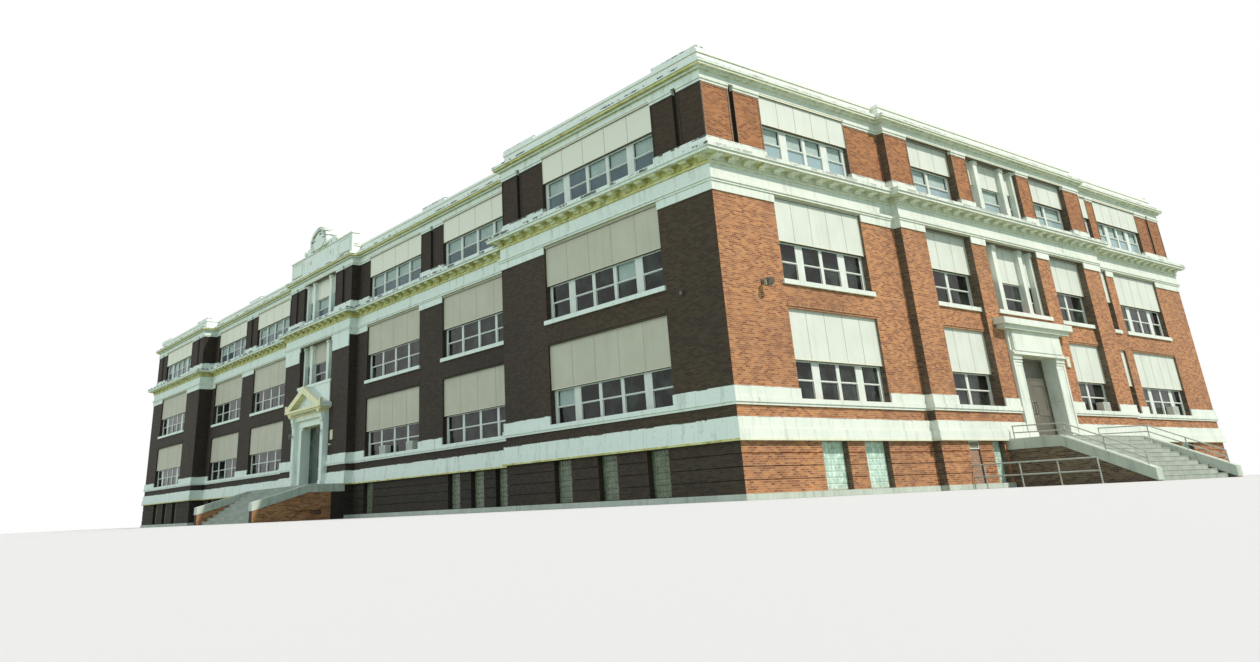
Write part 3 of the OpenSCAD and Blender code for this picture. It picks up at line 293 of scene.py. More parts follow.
# Brick. Patches and streaks are written as noise (scale, detail, roughness), spread (from, to, least,
# most) and stretch
brickLook = Look(
    roughness=0.88, relief=((120.0, 2.0), 0.2, 0.0016, 0.10),
    upright=False, length=0.1065, course=0.0335, joint=0.0024, jointSoft=0.2, bond=0.5,
    dark=(0.235, 0.066, 0.022), light=(0.590, 0.240, 0.088), mortar=(0.560, 0.430, 0.300),
    soot=(0.120, 0.062, 0.044),
    sootPatches=((0.55, 4.0), (0.42, 0.75, 0.0, 0.35)),
    sootStreaks=((1.0, 4.0), (0.55, 0.80, 0.0, 0.30), (5.0, 5.0, 0.35)),
    wash=(0.460, 0.250, 0.150), washPatches=((3.2, 5.0, 0.65), (0.50, 0.80, 0.0, 0.40)),
    frontTone=(0.122, 0.185, 0.216),  # painted shade: the front, which lies in shade, is darkened
    wingTone=(0.075, 0.124, 0.166), wingTo=9.8, cornerFrom=13.5,  # with more painted shade away from the corner
    lowTone=(0.76, 0.80, 0.86), lowEnd=0.86,
    highTone=(0.82, 0.75, 0.66), highFrom=5.60,
    returnTone=(0.38, 0.60, 0.86), returnsFrom=15.50,  # painted shade on the side's returns, which face away from the sun, nearly as dark
)


def brickMaterial(name, look):
    finish = Finish(name, look.roughness)
    along, up = finish.wallPlace()
    place = finish.vector(up, along) if look.upright else finish.vector(along, up)
    size = (look.length, look.course, look.joint, look.bond)
    more = {"Color1": look.dark, "Color2": look.light, "Mortar": look.mortar,
            "Mortar Smooth": look.jointSoft}
    finish.tone, joints = finish.courses(place, *size, more)
    finish.layer(finish.patches(*look.sootPatches), look.soot)
    finish.layer(finish.patches(*look.washPatches), look.wash)
    finish.layer(finish.patches(*look.sootStreaks), look.soot)
    # Painted shade: the front and its jambs are darkened, more so away from the corner, and darker still
    # towards their foot
    shadedFront = finish.onFront()
    x, y, z = finish.where
    corner = finish.ramp(x, look.wingTo, look.cornerFrom)
    finish.shade(shadedFront, finish.blend(corner, look.wingTone, look.frontTone))
    # Painted shade on the side's returns that face the front
    aside = finish.times(finish.over(x, look.returnsFrom), finish.over(y, frontZone.back))
    finish.shade(finish.times(finish.towards(1, -1), aside), look.returnTone)
    finish.shade(finish.times(shadedFront, finish.under(z, look.lowEnd)), look.lowTone)
    finish.shade(finish.over(z, look.highFrom), look.highTone)
    finish.relief(joints, *look.relief)
    return finish.done()


# Painted stone: stained mouldings, dark ledges, block joints; olive undersides and bands under the cornices
# that are partly stain and partly painted shade, paler on the sunlit side as painted light; a paler copy on
# the shaded front and a paler top, both painted light
trimLook = Look(
    roughness=0.80,
    clean=(0.740, 0.765, 0.700), pale=(0.840, 0.840, 0.780), palePatches=((1.3, 5.0), (0.35, 0.65)),
    washed=(0.920, 0.930, 0.880), washedFrom=7.33, washedShare=0.6,
    dirt=(0.290, 0.300, 0.230),
    dirtStreaks=((1.0, 5.0, 0.6), (0.54, 0.78, 0.0, 0.50), (7.0, 7.0, 0.9)),
    dirtSpots=((11.0, 4.0, 0.7), (0.60, 0.78, 0.0, 0.50)),
    ledge=(0.250, 0.245, 0.200), ledgePatches=((9.0, 5.0, 0.7), (0.38, 0.62)),
    frontPale=(0.900, 0.970, 0.930), frontShare=0.75,
    soffit=(0.540, 0.500, 0.190), soffitDark=(0.270, 0.250, 0.100),
    soffitAside=(0.820, 0.800, 0.600), soffitAsideDark=(0.460, 0.440, 0.240),
    soffitPatches=((7.0, 4.0, 0.7), (0.40, 0.66)),
    stain=(0.740, 0.680, 0.270), stainDark=(0.360, 0.330, 0.130), stainNoise=(1.0, 5.0, 0.7),
    stainStretch=(6.0, 6.0, 9.0), stainSpread=(0.30, 0.46), stainDarkSpread=(0.48, 0.70),
    stainAside=0.28, stainBefore=-100.0,
    edgeDirt=(0.050, 0.050, 0.042), edgeLap=0.001, dashStretch=(2.6, 2.0), dashNoise=(1.0, 5.0, 0.75),
    dashSpread=(0.50, 0.55, 0.0, 0.9), dashesAside=0.45,
    block=0.62, blockTall=40.0, joint=0.0030, jointDirt=0.5, relief=((90.0, 3.0), 0.4, 0.0018, 0.30),
)


def trimMaterial(name, look, edges, zones):
    finish = Finish(name, look.roughness)
    along, up = finish.wallPlace()
    front = finish.onFront()
    finish.start(look.palePatches, look.clean, look.pale)
    # Painted light: the front's trim, which lies in shade, is given a paler, cooler copy of its colour
    finish.layer(finish.times(front, look.frontShare), look.frontPale)
    finish.layer(finish.patches(*look.dirtStreaks), look.dirt)
    finish.layer(finish.patches(*look.dirtSpots), look.dirt)
    # Painted light: trim above the parapet's foot is paler, as it catches more of the light from above
    finish.layer(finish.times(finish.over(up, look.washedFrom), look.washedShare), look.washed)
    # Olive bands under the projections: partly stain, partly painted shade, and weaker on the sunlit side as
    # painted light
    stainAndShade = finish.under(finish.where[1], look.stainBefore)
    for low, high in zones:
        stainAndShade = finish.either(finish.between(up, low, high), stainAndShade)
    blotch = finish.noise(*look.stainNoise, place=finish.stretched(*look.stainStretch))
    stainAndShade = finish.times(finish.ramp(blotch, *look.stainSpread), stainAndShade)
    stainAndShade = finish.times(stainAndShade, finish.pick(front, look.stainAside, 1.0))
    stain = finish.blend(finish.ramp(blotch, *look.stainDarkSpread), look.stain, look.stainDark)
    finish.layer(stainAndShade, stain)
    band = 0.0
    for height, depth in edges:
        band = finish.either(finish.between(up, height - depth, height + look.edgeLap), band)
    along2, up2 = finish.times(along, look.dashStretch[0]), finish.times(up, look.dashStretch[1])
    dashes = finish.ramp(finish.noise(*look.dashNoise, place=finish.vector(along2, up2)), *look.dashSpread)
    dashes = finish.times(finish.times(dashes, band), finish.pick(front, look.dashesAside, 1.0))
    finish.layer(dashes, look.edgeDirt)
    # Undersides: olive on the front, partly stain and partly painted shade; paler on the sunlit side as
    # painted light
    mottle = finish.patches(*look.soffitPatches)
    aside = finish.blend(mottle, look.soffitAside, look.soffitAsideDark)
    below = finish.blend(front, aside, finish.blend(mottle, look.soffit, look.soffitDark))
    finish.layer(finish.towards(2, -1), below)
    finish.layer(finish.times(finish.towards(2, 1), finish.patches(*look.ledgePatches)), look.ledge)
    place = finish.vector(along, finish.math("ADD", up, look.blockTall / 2))
    joints = finish.courses(place, look.block, look.blockTall, look.joint, 0.0, {})[1]
    finish.layer(finish.times(joints, look.jointDirt), look.dirt)
    finish.relief(joints, *look.relief)
    return finish.done()


# Painted or cast surfaces: two close tones, dirt in patches and streaks; some are also darker on the shaded
# front and on their undersides, as painted shade
plainLook = Look(
    dirtAmount=0.5, grain=120.0, bump=0.0006, tonePatches=(4.0, (0.35, 0.68)), dirtNoise=(1.0, 5.0, 0.6),
    dirtSpread=(0.52, 0.80), across=9.0, grainNoise=(3.0, 0.6), sheen=0.08, sheenSpread=(0.2, 0.8),
    bumpStrength=0.4)


def plainMaterial(name, look):
    look = Look(plainLook, **look)
    finish = Finish(name, look.roughness)
    finish.start(((look.broad, look.tonePatches[0]), look.tonePatches[1]), look.tone, look.second)
    finish.layer(finish.patches(look.dirtNoise, (*look.dirtSpread, 0.0, look.dirtAmount),
                                (look.across, look.across, look.drag)), look.dirt)
    # Painted shade: darker on the front, which lies in shade, and paler above highFrom there
    if "front" in look:
        front = finish.onFront()
        finish.shade(front, look.front)
        finish.layer(finish.times(finish.over(finish.where[2], look.highFrom), front), look.high)
    # Painted shade: dark undersides
    if "under" in look:
        finish.layer(finish.towards(2, -1), look.under)
    grain = finish.noise(look.grain, *look.grainNoise)
    gloss = finish.ramp(grain, *look.sheenSpread, look.roughness - look.sheen, look.roughness + look.sheen)
    finish.feed(finish.shader.inputs["Roughness"], gloss)
    finish.shader.inputs["Metallic"].default_value = look.get("metal", 0.0)
    finish.bump(grain, look.bump, look.bumpStrength)
    return finish.done()


plainLooks = {
    "concrete": Look(
        tone=(0.50, 0.54, 0.48), second=(0.64, 0.66, 0.60), dirt=(0.20, 0.22, 0.17), dirtAmount=0.6,
        roughness=0.88, broad=2.2, drag=1.4, grain=60.0, bump=0.003),
    # Darker than the other concrete: painted shade on the steps
    "stepStoneShaded": Look(
        tone=(0.34, 0.37, 0.33), second=(0.45, 0.47, 0.42), dirt=(0.15, 0.17, 0.13), dirtAmount=0.6,
        roughness=0.88, broad=2.2, drag=1.4, grain=60.0, bump=0.003),
    "wallPanel": Look(
        tone=(0.690, 0.695, 0.635), second=(0.760, 0.765, 0.705), dirt=(0.50, 0.50, 0.43), dirtAmount=0.35,
        roughness=0.62, broad=1.6, drag=0.5, grain=45.0, bump=0.001, front=(0.80, 0.74, 0.66),
        high=(0.890, 0.850, 0.740), highFrom=5.6, under=(0.10, 0.08, 0.05)),
    "panelEdge": Look(
        tone=(0.72, 0.69, 0.52), second=(0.78, 0.74, 0.58), dirt=(0.42, 0.40, 0.24), dirtAmount=0.4,
        roughness=0.60, broad=3.0, drag=1.5, grain=60.0, bump=0.001, under=(0.10, 0.08, 0.05)),
    "windowFrame": Look(
        tone=(0.72, 0.75, 0.70), second=(0.79, 0.80, 0.76), dirt=(0.40, 0.42, 0.36), dirtAmount=0.4,
        roughness=0.50, broad=5.0, drag=2.0, grain=80.0, bump=0.0008),
    "doorGreen": Look(
        tone=(0.044, 0.074, 0.060), second=(0.064, 0.100, 0.082), dirt=(0.12, 0.13, 0.11), dirtAmount=0.3,
        roughness=0.42, broad=3.0, drag=1.0, grain=70.0),
    "doorGrey": Look(
        tone=(0.130, 0.118, 0.090), second=(0.170, 0.155, 0.120), dirt=(0.09, 0.085, 0.07), dirtAmount=0.4,
        roughness=0.45, broad=3.0, drag=1.0, grain=70.0),
    "railPaint": Look(
        tone=(0.42, 0.43, 0.40), second=(0.52, 0.53, 0.49), dirt=(0.22, 0.15, 0.10), dirtAmount=0.6,
        roughness=0.55, broad=8.0, drag=8.0, bump=0.0008),
    "lampPaint": Look(
        tone=(0.10, 0.09, 0.07), second=(0.17, 0.15, 0.12), dirt=(0.05, 0.04, 0.04), roughness=0.50,
        broad=9.0, drag=5.0),
    "unitPaint": Look(
        tone=(0.60, 0.61, 0.56), second=(0.68, 0.69, 0.64), dirt=(0.34, 0.32, 0.27), roughness=0.55,
        broad=8.0, drag=3.0),
    "blindCloth": Look(
        tone=(0.62, 0.74, 0.70), second=(0.74, 0.84, 0.80), dirt=(0.52, 0.60, 0.56), dirtAmount=0.3,
        roughness=0.85, broad=4.0, drag=2.0, grain=150.0),
    "mortar": Look(
        tone=(0.62, 0.66, 0.60), second=(0.72, 0.75, 0.69), dirt=(0.40, 0.42, 0.36), roughness=0.90,
        broad=4.0, drag=3.0, grain=90.0, bump=0.001, front=(0.42, 0.42, 0.36), high=(0.5, 0.5, 0.5),
        highFrom=50.0),
    "panelJoint": Look(
        tone=(0.38, 0.37, 0.28), second=(0.46, 0.44, 0.34), dirt=(0.22, 0.21, 0.14), roughness=0.70,
        broad=3.0, drag=1.5, grain=60.0, bump=0.001),
    "ironwork": Look(
        tone=(0.030, 0.032, 0.034), second=(0.055, 0.055, 0.055), dirt=(0.12, 0.085, 0.06), dirtAmount=0.4,
        roughness=0.50, broad=8.0, drag=5.0),
    "doorMetal": Look(
        tone=(0.42, 0.40, 0.34), second=(0.52, 0.50, 0.44), dirt=(0.20, 0.18, 0.14), roughness=0.38,
        broad=12.0, drag=6.0, grain=160.0, bump=0.0004, metal=0.8),
    "lampGlass": Look(
        tone=(0.62, 0.60, 0.48), second=(0.72, 0.70, 0.58), dirt=(0.36, 0.33, 0.24), dirtAmount=0.4,
        roughness=0.30, broad=12.0, drag=8.0, grain=140.0, bump=0.0005),
}

# Roofing laid in long sheets with dark laps
roofLook = Look(
    roughness=0.90, tone=(0.15, 0.148, 0.14), second=(0.23, 0.225, 0.21), patches=((0.8, 5.0), (0.35, 0.68)),
    sheet=0.5, lap=(0.085, 0.085, 0.08), lapWide=0.05, lapShare=0.8, grit=(140.0, 2.0), gritShare=0.4,
    bump=(0.003, 0.4))


def roofMaterial(name, look):
    finish = Finish(name, look.roughness)
    finish.start(look.patches, look.tone, look.second)
    sheets = finish.math("FRACT", finish.math("DIVIDE", finish.where[1], look.sheet))
    laps = finish.under(sheets, look.lapWide)
    finish.layer(finish.times(laps, look.lapShare), look.lap)
    finish.bump(finish.math("ADD", finish.times(finish.noise(*look.grit), look.gritShare), laps), *look.bump)
    return finish.done()


# Window glass, brighter in patches as painted reflection; the sash panes carry painted shade for the unlit
# rooms below, and a painted reflection makes them paler above on the sunny side
glassLook = Look(
    roughness=0.06, tint=(0.060, 0.092, 0.096), bright=1.9, patches=((0.9, 3.0), (0.35, 0.7)), alpha=0.12,
    specular=0.3)
sashGlassLook = Look(
    glassLook, tint=(0.072, 0.104, 0.120), alpha=0.96, sunny=(0.440, 0.580, 0.620), sunnyShare=0.7,
    rooms=((0.010, 0.010, 0.009), (0.055, 0.075, 0.062)), roomsTo=5.4,
    roomPatches=((2.4, 4.0), (0.45, 0.72)))


def glassMaterial(name, look):
    finish = Finish(name, look.roughness)
    # Brighter patches: painted reflection
    finish.start(look.patches, look.tint, tuple(look.bright * c for c in look.tint))
    if "rooms" in look:
        # Painted reflection: paler on faces towards the sunny side
        finish.layer(finish.times(finish.towards(0, 1), look.sunnyShare), look.sunny)
        # Painted shade: the unlit rooms below, dark
        rooms = finish.blend(finish.patches(*look.roomPatches), *look.rooms)
        finish.layer(finish.under(finish.where[2], look.roomsTo), rooms)
    finish.shader.inputs["Alpha"].default_value = look.alpha
    finish.shader.inputs["Specular IOR Level"].default_value = look.specular
    return finish.done()


blockGlassLook = Look(
    roughness=0.20, deep=(0.340, 0.500, 0.420), bright=(0.740, 0.920, 0.820),
    patches=((9.0, 3.0, 0.7), (0.35, 0.65)), front=(0.27, 0.25, 0.18), ripple=(60.0, 2.0), bump=(0.002, 0.4))


def blockGlassMaterial(name, look):
    finish = Finish(name, look.roughness)
    finish.start(look.patches, look.deep, look.bright)
    # Painted shade: darker on faces towards the front, which lies in shade
    finish.shade(finish.towards(1, -1), look.front)
    finish.bump(finish.noise(*look.ripple), *look.bump)
    return finish.done()


# Heights at which dirt and stains lie: (top, depth) of dirty edges, (low, high) of the olive bands under the
# cornices and at the water table's foot, which are partly stain and partly painted shade
edgeDepths = {"main_cornice": 0.055, "top_cornice": 0.034, "sill_course": 0.012, "water_table": 0.014,
              "parapet": 0.024, "attic_base_course": 0.034}
dirtyEdges = [(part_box(name)[1][2], depth) for name, depth in edgeDepths.items()]
corona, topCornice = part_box("cornice_brackets")[1][2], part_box("top_cornice")[1][2]
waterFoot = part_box("water_table")[0][2]
stainAndShadeZones = [(corona - 0.155, corona + 0.002), (topCornice - 0.105, topCornice - 0.062),
                (waterFoot - 0.01, waterFoot + 0.034)]
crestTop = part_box("centre_crest")[1][2]
crestEdges = ((0, 0.05), (0.09, 0.04), (0.20, 0.06), (0.35, 0.05))  # below its top
carvedEdges = [(crestTop - drop, depth) for drop, depth in crestEdges]
creamTrim = Look(
    trimLook, soffit=(0.86, 0.76, 0.42), soffitDark=(0.62, 0.54, 0.28), stain=(0.98, 0.89, 0.60),
    stainDark=(0.82, 0.71, 0.43), stainSpread=(0.25, 0.40), ledge=(0.66, 0.70, 0.64), stainBefore=-9.40)
# Brackets: their undersides paler still, as painted light
brackets = Look(
    trimLook, soffit=(0.78, 0.74, 0.46), soffitDark=(0.46, 0.43, 0.20), soffitAside=(0.96, 0.95, 0.80),
    soffitAsideDark=(0.70, 0.68, 0.48))
carved = Look(trimLook, dirt=(0.090, 0.090, 0.070))
paleBrick = Look(
    brickLook, dark=(0.300, 0.160, 0.110), light=(0.430, 0.250, 0.175), mortar=(0.42, 0.37, 0.30))
finishes = {name: plainMaterial(name, look) for name, look in plainLooks.items()}
finishes["brick"] = brickMaterial("brickWall", brickLook)
finishes["soldierBrick"] = brickMaterial("soldierBrick", Look(brickLook, upright=True, bond=0.0))
finishes["infillBrick"] = brickMaterial("infillBrick", paleBrick)
finishes["trim"] = trimMaterial("paintedStone", trimLook, dirtyEdges, stainAndShadeZones)
finishes["bracketStone"] = trimMaterial("bracketStone", brackets, dirtyEdges, stainAndShadeZones)
finishes["carvedStone"] = trimMaterial("carvedStone", carved, carvedEdges, [])
finishes["creamTrim"] = trimMaterial("creamStone", creamTrim, [], [(2.88, 3.03)])
finishes["roofing"] = roofMaterial("roofSheets", roofLook)
finishes["glass"] = glassMaterial("windowGlass", glassLook)
finishes["sashGlass"] = glassMaterial("sashGlass", sashGlassLook)
finishes["blockGlass"] = blockGlassMaterial("blockGlass", blockGlassLook)

slotFinish = {
    "brick": "brick", "infill_brick": "infillBrick", "white_trim": "trim", "concrete": "concrete",
    "roofing": "roofing", "wall_panel": "wallPanel", "window_frame": "windowFrame", "window_glass": "glass",
    "glass_block": "blockGlass", "front_door_paint": "doorGreen", "side_door_paint": "doorGrey",
    "rail_metal": "railPaint", "lamp_metal": "lampPaint", "unit_metal": "unitPaint",
}
nodeFinish = {"brick_lintels": "soldierBrick", "front_portal": "creamTrim", "centre_crest": "carvedStone",
              "front_steps": "stepStoneShaded", "side_steps": "stepStoneShaded", "cornice_brackets": "bracketStone"}
for part in frame["record"]["subparts"]:
    node = frame["nodes"][part["node"]]
    node.data.materials.clear()
    node.data.materials.append(finishes[nodeFinish.get(part["node"], slotFinish[part["material_slot"]])])
print("materials: every CAD node has its finish")

# Modelling helpers
facingFront = (math.radians(90), 0, 0)  # turns a level primitive towards -y


def block(name, low, high):
    middle = tuple((a + b) / 2 for a, b in zip(low, high))
    scale = tuple(b - a for a, b in zip(low, high))
    return primitive(name, bpy.ops.mesh.primitive_cube_add, scale, size=1, location=middle)


def easeEdges(piece, width, steps=1):
    bpy.ops.object.mode_set(mode="EDIT")
    bpy.ops.mesh.select_mode(type="EDGE")
    bpy.ops.mesh.select_all(action="DESELECT")
    bpy.ops.mesh.edges_select_sharp(sharpness=math.radians(40))
    bpy.ops.mesh.bevel(offset=width, segments=steps, affect="EDGES")
    bpy.ops.object.mode_set(mode="OBJECT")
    return piece


def easedBlock(name, low, high, ease, steps=1):
    return easeEdges(block(name, low, high), ease, steps)


def easedDisc(name, ease, **settings):
    return easeEdges(primitive(name, bpy.ops.mesh.primitive_cylinder_add, vertices=24, **settings), ease, 2)


def sheet(name, width, height, columns, rows):
    # Upright sheet of faces, its lower left corner at the origin
    return primitive(name, bpy.ops.mesh.primitive_grid_add, (width, height, 1), x_subdivisions=columns,
                     y_subdivisions=rows, size=1, location=(width / 2, 0, height / 2), rotation=facingFront)


def selectFaces(piece, wanted):
    # Goes into edit mode with only the wanted faces selected
    bpy.ops.object.mode_set(mode="EDIT")
    bpy.ops.mesh.select_mode(type="FACE")
    bpy.ops.mesh.select_all(action="DESELECT")
    bpy.ops.object.mode_set(mode="OBJECT")
    for face in piece.data.polygons:
        face.select = wanted(face.normal)
    bpy.ops.object.mode_set(mode="EDIT")


def ringFrame(name, low, high, width, ease):
    # Frame in the plane of a wall, open in the middle
    piece = block(name, low, high)
    selectFaces(piece, lambda normal: abs(normal.y) > facing.straight)
    bpy.ops.mesh.inset(thickness=width)
    bpy.ops.mesh.bridge_edge_loops()
    bpy.ops.object.mode_set(mode="OBJECT")
    return easeEdges(piece, ease)


def secondFinish(piece, first, second):
    # The selected faces take the second of two finishes
    piece.data.materials.append(finishes[first])
    piece.data.materials.append(finishes[second])
    piece.active_material_index = 1
    bpy.ops.object.material_slot_assign()


def remove(*pieces):
    for piece in pieces:
        bpy.data.objects.remove(piece)


def turned(angle):
    return Matrix.Rotation(math.radians(angle), 4, "Z")


def moved(x, y, z):
    return Matrix.Translation((x, y, z))


def copyOf(piece, matrix):
    twin = piece.copy()
    twin.data = piece.data.copy()
    twin.data.transform(matrix)
    if matrix.determinant() < 0:
        twin.data.flip_normals()
    scene.collection.objects.link(twin)
    return twin


def onWall(piece, wall, x=0, y=0, z=0):
    return copyOf(piece, turned(wall.turn) @ moved(x, y, z))


def joined(name, parts, spare=()):
    remove(*spare)
    bpy.ops.object.select_all(action="DESELECT")
    for part in parts:
        part.select_set(True)
    bpy.context.view_layer.objects.active = parts[0]
    if len(parts) > 1:
        bpy.ops.object.join()
    parts[0].name = name
    return parts[0]


def dress(piece, look, body="building"):
    if look:
        piece.data.materials.clear()
        piece.data.materials.append(finishes[look])
    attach(piece, body)


def strip(name, width, proud, ease, steps=1):
    # One metre of a strip along x, its back on y = 0 and its face towards -y
    return easedBlock(name, (0, -proud, -width / 2), (1, 0, width / 2), ease, steps)


def across(piece, wall, left, right, y, z):
    stretch = Matrix.Diagonal((right - left, 1, 1, 1))
    return copyOf(piece, turned(wall.turn) @ moved(left, y, z) @ stretch)


def upright(piece, wall, x, y, foot, head):
    stretch = Matrix.Diagonal((head - foot, 1, 1, 1))
    lift = Matrix.Rotation(math.radians(-90), 4, "Y")
    return copyOf(piece, turned(wall.turn) @ moved(x, y, foot) @ lift @ stretch)


def border(piece, width, wall, y, inset=0.0):
    left, right = wall.left + inset, wall.right - inset
    foot, head = wall.foot + inset, wall.head - inset
    half = width / 2
    return [
        across(piece, wall, left, right, y, foot + half),
        across(piece, wall, left, right, y, head - half),
        upright(piece, wall, left + half, y, foot + width, head - width),
        upright(piece, wall, right - half, y, foot + width, head - width),
    ]


# What the CAD says
def meshOf(node):
    return frame["nodes"][node].data


def islands(mesh):
    # A number for each point's solid, found by the faces that join the points
    spots, owner, place = {}, [], []
    for point in mesh.vertices:
        key = tuple(round(c, 4) for c in point.co)
        if key not in spots:
            spots[key] = len(owner)
            owner.append(len(owner))
        place.append(spots[key])

    def top(i):
        while owner[i] != i:
            owner[i] = owner[owner[i]]
            i = owner[i]
        return i

    for face in mesh.polygons:
        first = top(place[face.vertices[0]])
        for other in face.vertices[1:]:
            owner[top(place[other])] = first
    return [top(i) for i in place]


def pointsOf(mesh, face):
    return [mesh.vertices[i].co.copy() for i in face.vertices]


def describe(points, turn):
    # Box of some points as seen from outside their wall: y grows inwards
    back = turned(-turn)
    local = [back @ p for p in points]
    low, high = [[pick(p[i] for p in local) for i in range(3)] for pick in (min, max)]
    return Look(turn=turn, left=low[0], right=high[0], front=low[1], back=high[1], foot=low[2], head=high[2],
                wide=high[0] - low[0], tall=high[2] - low[2], points=local)


def solids(node):
    # Each solid of a CAD node, seen from the side that it belongs to
    mesh = meshOf(node)
    groups = {}
    for point, owner in zip(mesh.vertices, islands(mesh)):
        groups.setdefault(owner, []).append(point.co.copy())
    found = []
    for points in groups.values():
        box = describe(points, 0)
        if box.wide > box.back - box.front:
            turn = 0 if box.front + box.back < 0 else 180
        else:
            turn = 90 if box.left + box.right > 0 else -90
        found.append(describe(points, turn))
    return sorted(found, key=lambda wall: (wall.turn, wall.foot, wall.left))


def flatFaces(node):
    # Each upright flat face of a CAD node, seen from its own side
    mesh = meshOf(node)
    owners = islands(mesh)
    groups = {}
    for face in mesh.polygons:
        if max(abs(face.normal.x), abs(face.normal.y)) < facing.straight:
            continue
        turn = round(math.degrees(math.atan2(face.normal.x, -face.normal.y)) / 90) * 90
        turn = {270: -90, -180: 180}.get(turn, turn)
        points = pointsOf(mesh, face)
        level = round((turned(-turn) @ points[0]).y, 3)
        groups.setdefault((turn, level, owners[face.vertices[0]]), []).extend(points)
    return [describe(points, key[0]) for key, points in sorted(groups.items())]


def breaks(values, gap=0.001):
    # Values more than a gap apart, in order
    kept = []
    for value in sorted(values):
        if not kept or value - kept[-1] > gap:
            kept.append(value)
    return kept


storeyFeet = (3.1, 5.3)  # panels and frames of the second and third storey start above these


def storey(wall):
    return 1 + sum(wall.foot >= height for height in storeyFeet)


panelNodes = ("front_panels", "side_panels", "rear_panels")
frameNodes = ("front_window_frames", "side_window_frames", "rear_window_frames")

# Closed panels over the windows
panelLook = Look(
    boards={"front": 0.735, "side": 0.55, "rear": 0.735}, batten=0.010, battenProud=0.003, edge=0.014,
    edgeProud=0.007, ease=0.001)


def makePanelBoards(look):
    batten = strip("batten", look.batten, look.battenProud, look.ease)
    edge = strip("edge", look.edge, look.edgeProud, look.ease)
    for node in panelNodes:
        side = node.split("_")[0]
        battens, edges = [], []
        for wall in solids(node):
            boards = max(1, round(wall.wide / look.boards[side]))
            for i in range(1, boards):
                x = wall.left + wall.wide * i / boards
                battens.append(upright(batten, wall, x, wall.front, wall.foot, wall.head))
            edges += border(edge, look.edge, wall, wall.front)
        dress(joined(side + "_panel_battens", battens), "panelJoint")
        dress(joined(side + "_panel_edges", edges), "panelEdge")
    remove(batten, edge)


makePanelBoards(panelLook)
print("pieces: panel boards and edges")

# Mouldings under the heads of the openings, over the panels
headLook = Look(
    coverHeight=0.030, coverSet=0.006, beadHeight=0.016, beadDepth=0.034, ease=0.004, panelBack=0.115,
    centreBack=0.24, centreThick=0.05, atticSet=0.020, recess=0.105, recessFace=-17.005, near=0.01)


def makeHeadMouldings(look):
    covers, beads = [], []
    for node in panelNodes:
        for wall in solids(node):
            if storey(wall) == 1:
                continue
            central = wall.back - wall.front < look.centreThick
            face = wall.back - (look.centreBack if central else look.panelBack)
            if abs(face - look.recessFace) < look.near:
                face -= look.recess
            face += look.coverSet
            if storey(wall) == 3:
                face += look.atticSet
            cover = strip("cover", look.coverHeight, wall.front - face, look.ease)
            z = wall.head - look.coverHeight / 2
            covers.append(across(cover, wall, wall.left, wall.right, wall.front, z))
            bead = strip("bead", look.beadHeight, look.beadDepth, look.ease, 2)
            z = wall.head - look.coverHeight - look.beadHeight / 2
            beads.append(across(bead, wall, wall.left, wall.right, wall.front, z))
            remove(cover, bead)
    dress(joined("opening_head_covers", covers), "panelEdge")
    dress(joined("opening_head_beads", beads), "panelEdge")


makeHeadMouldings(headLook)
print("pieces: mouldings at the heads of the openings")

# Sashes, one ring in each light, the upper one further out
sashLook = Look(border=0.009, depth=0.017, ease=0.0015, upperSet=0.003, lowerSet=0.021)


def lightsOf(wall):
    # The panes of one CAD window frame: left, foot, size and row
    alongs, ups = [breaks(p[axis] for p in wall.points)[1:-1] for axis in (0, 2)]
    return [(x0, z0, (round(x1 - x0, 3), round(z1 - z0, 3)), row)
            for x0, x1 in zip(alongs[0::2], alongs[1::2])
            for row, (z0, z1) in enumerate(zip(ups[0::2], ups[1::2]))]


def makeSashes(look):
    for node in frameNodes:
        rings, patterns = [], {}
        for wall in solids(node):
            for x, z, size, row in lightsOf(wall):
                if size not in patterns:
                    far = (size[0], look.depth, size[1])
                    patterns[size] = ringFrame("sash", (0, 0, 0), far, look.border, look.ease)
                y = wall.front + (look.upperSet if row else look.lowerSet)
                rings.append(onWall(patterns[size], wall, x, y, z))
        side = node.split("_")[0]
        dress(joined(side + "_sashes", rings, patterns.values()), "windowFrame")


makeSashes(sashLook)
print("pieces: sashes")

# Blinds drawn down behind some upper sashes, and in all the other lights a dark pane that is painted shade
# for the unlit rooms
blindLook = Look(
    behind=0.052, slat=0.028, wave=0.003, thick=0.0012, narrower=0.01, shareHigh=0.92, shareSunny=1.0,
    shareLow=0.03, seed=11, pane=0.003, rim=0.004, ease=0.0005)


def blindPattern(width, height, look):
    piece = sheet("blind", width, height, 1, max(3, round(height / look.slat)))
    pleats = breaks(v.co.z for v in piece.data.vertices)
    for point in piece.data.vertices:
        row = min(range(len(pleats)), key=lambda i: abs(pleats[i] - point.co.z))
        point.co.y += look.wave * (row % 2)
    modifier = piece.modifiers.new("thickness", "SOLIDIFY")
    modifier.thickness = look.thick
    bpy.ops.object.modifier_apply(modifier=modifier.name)
    return piece


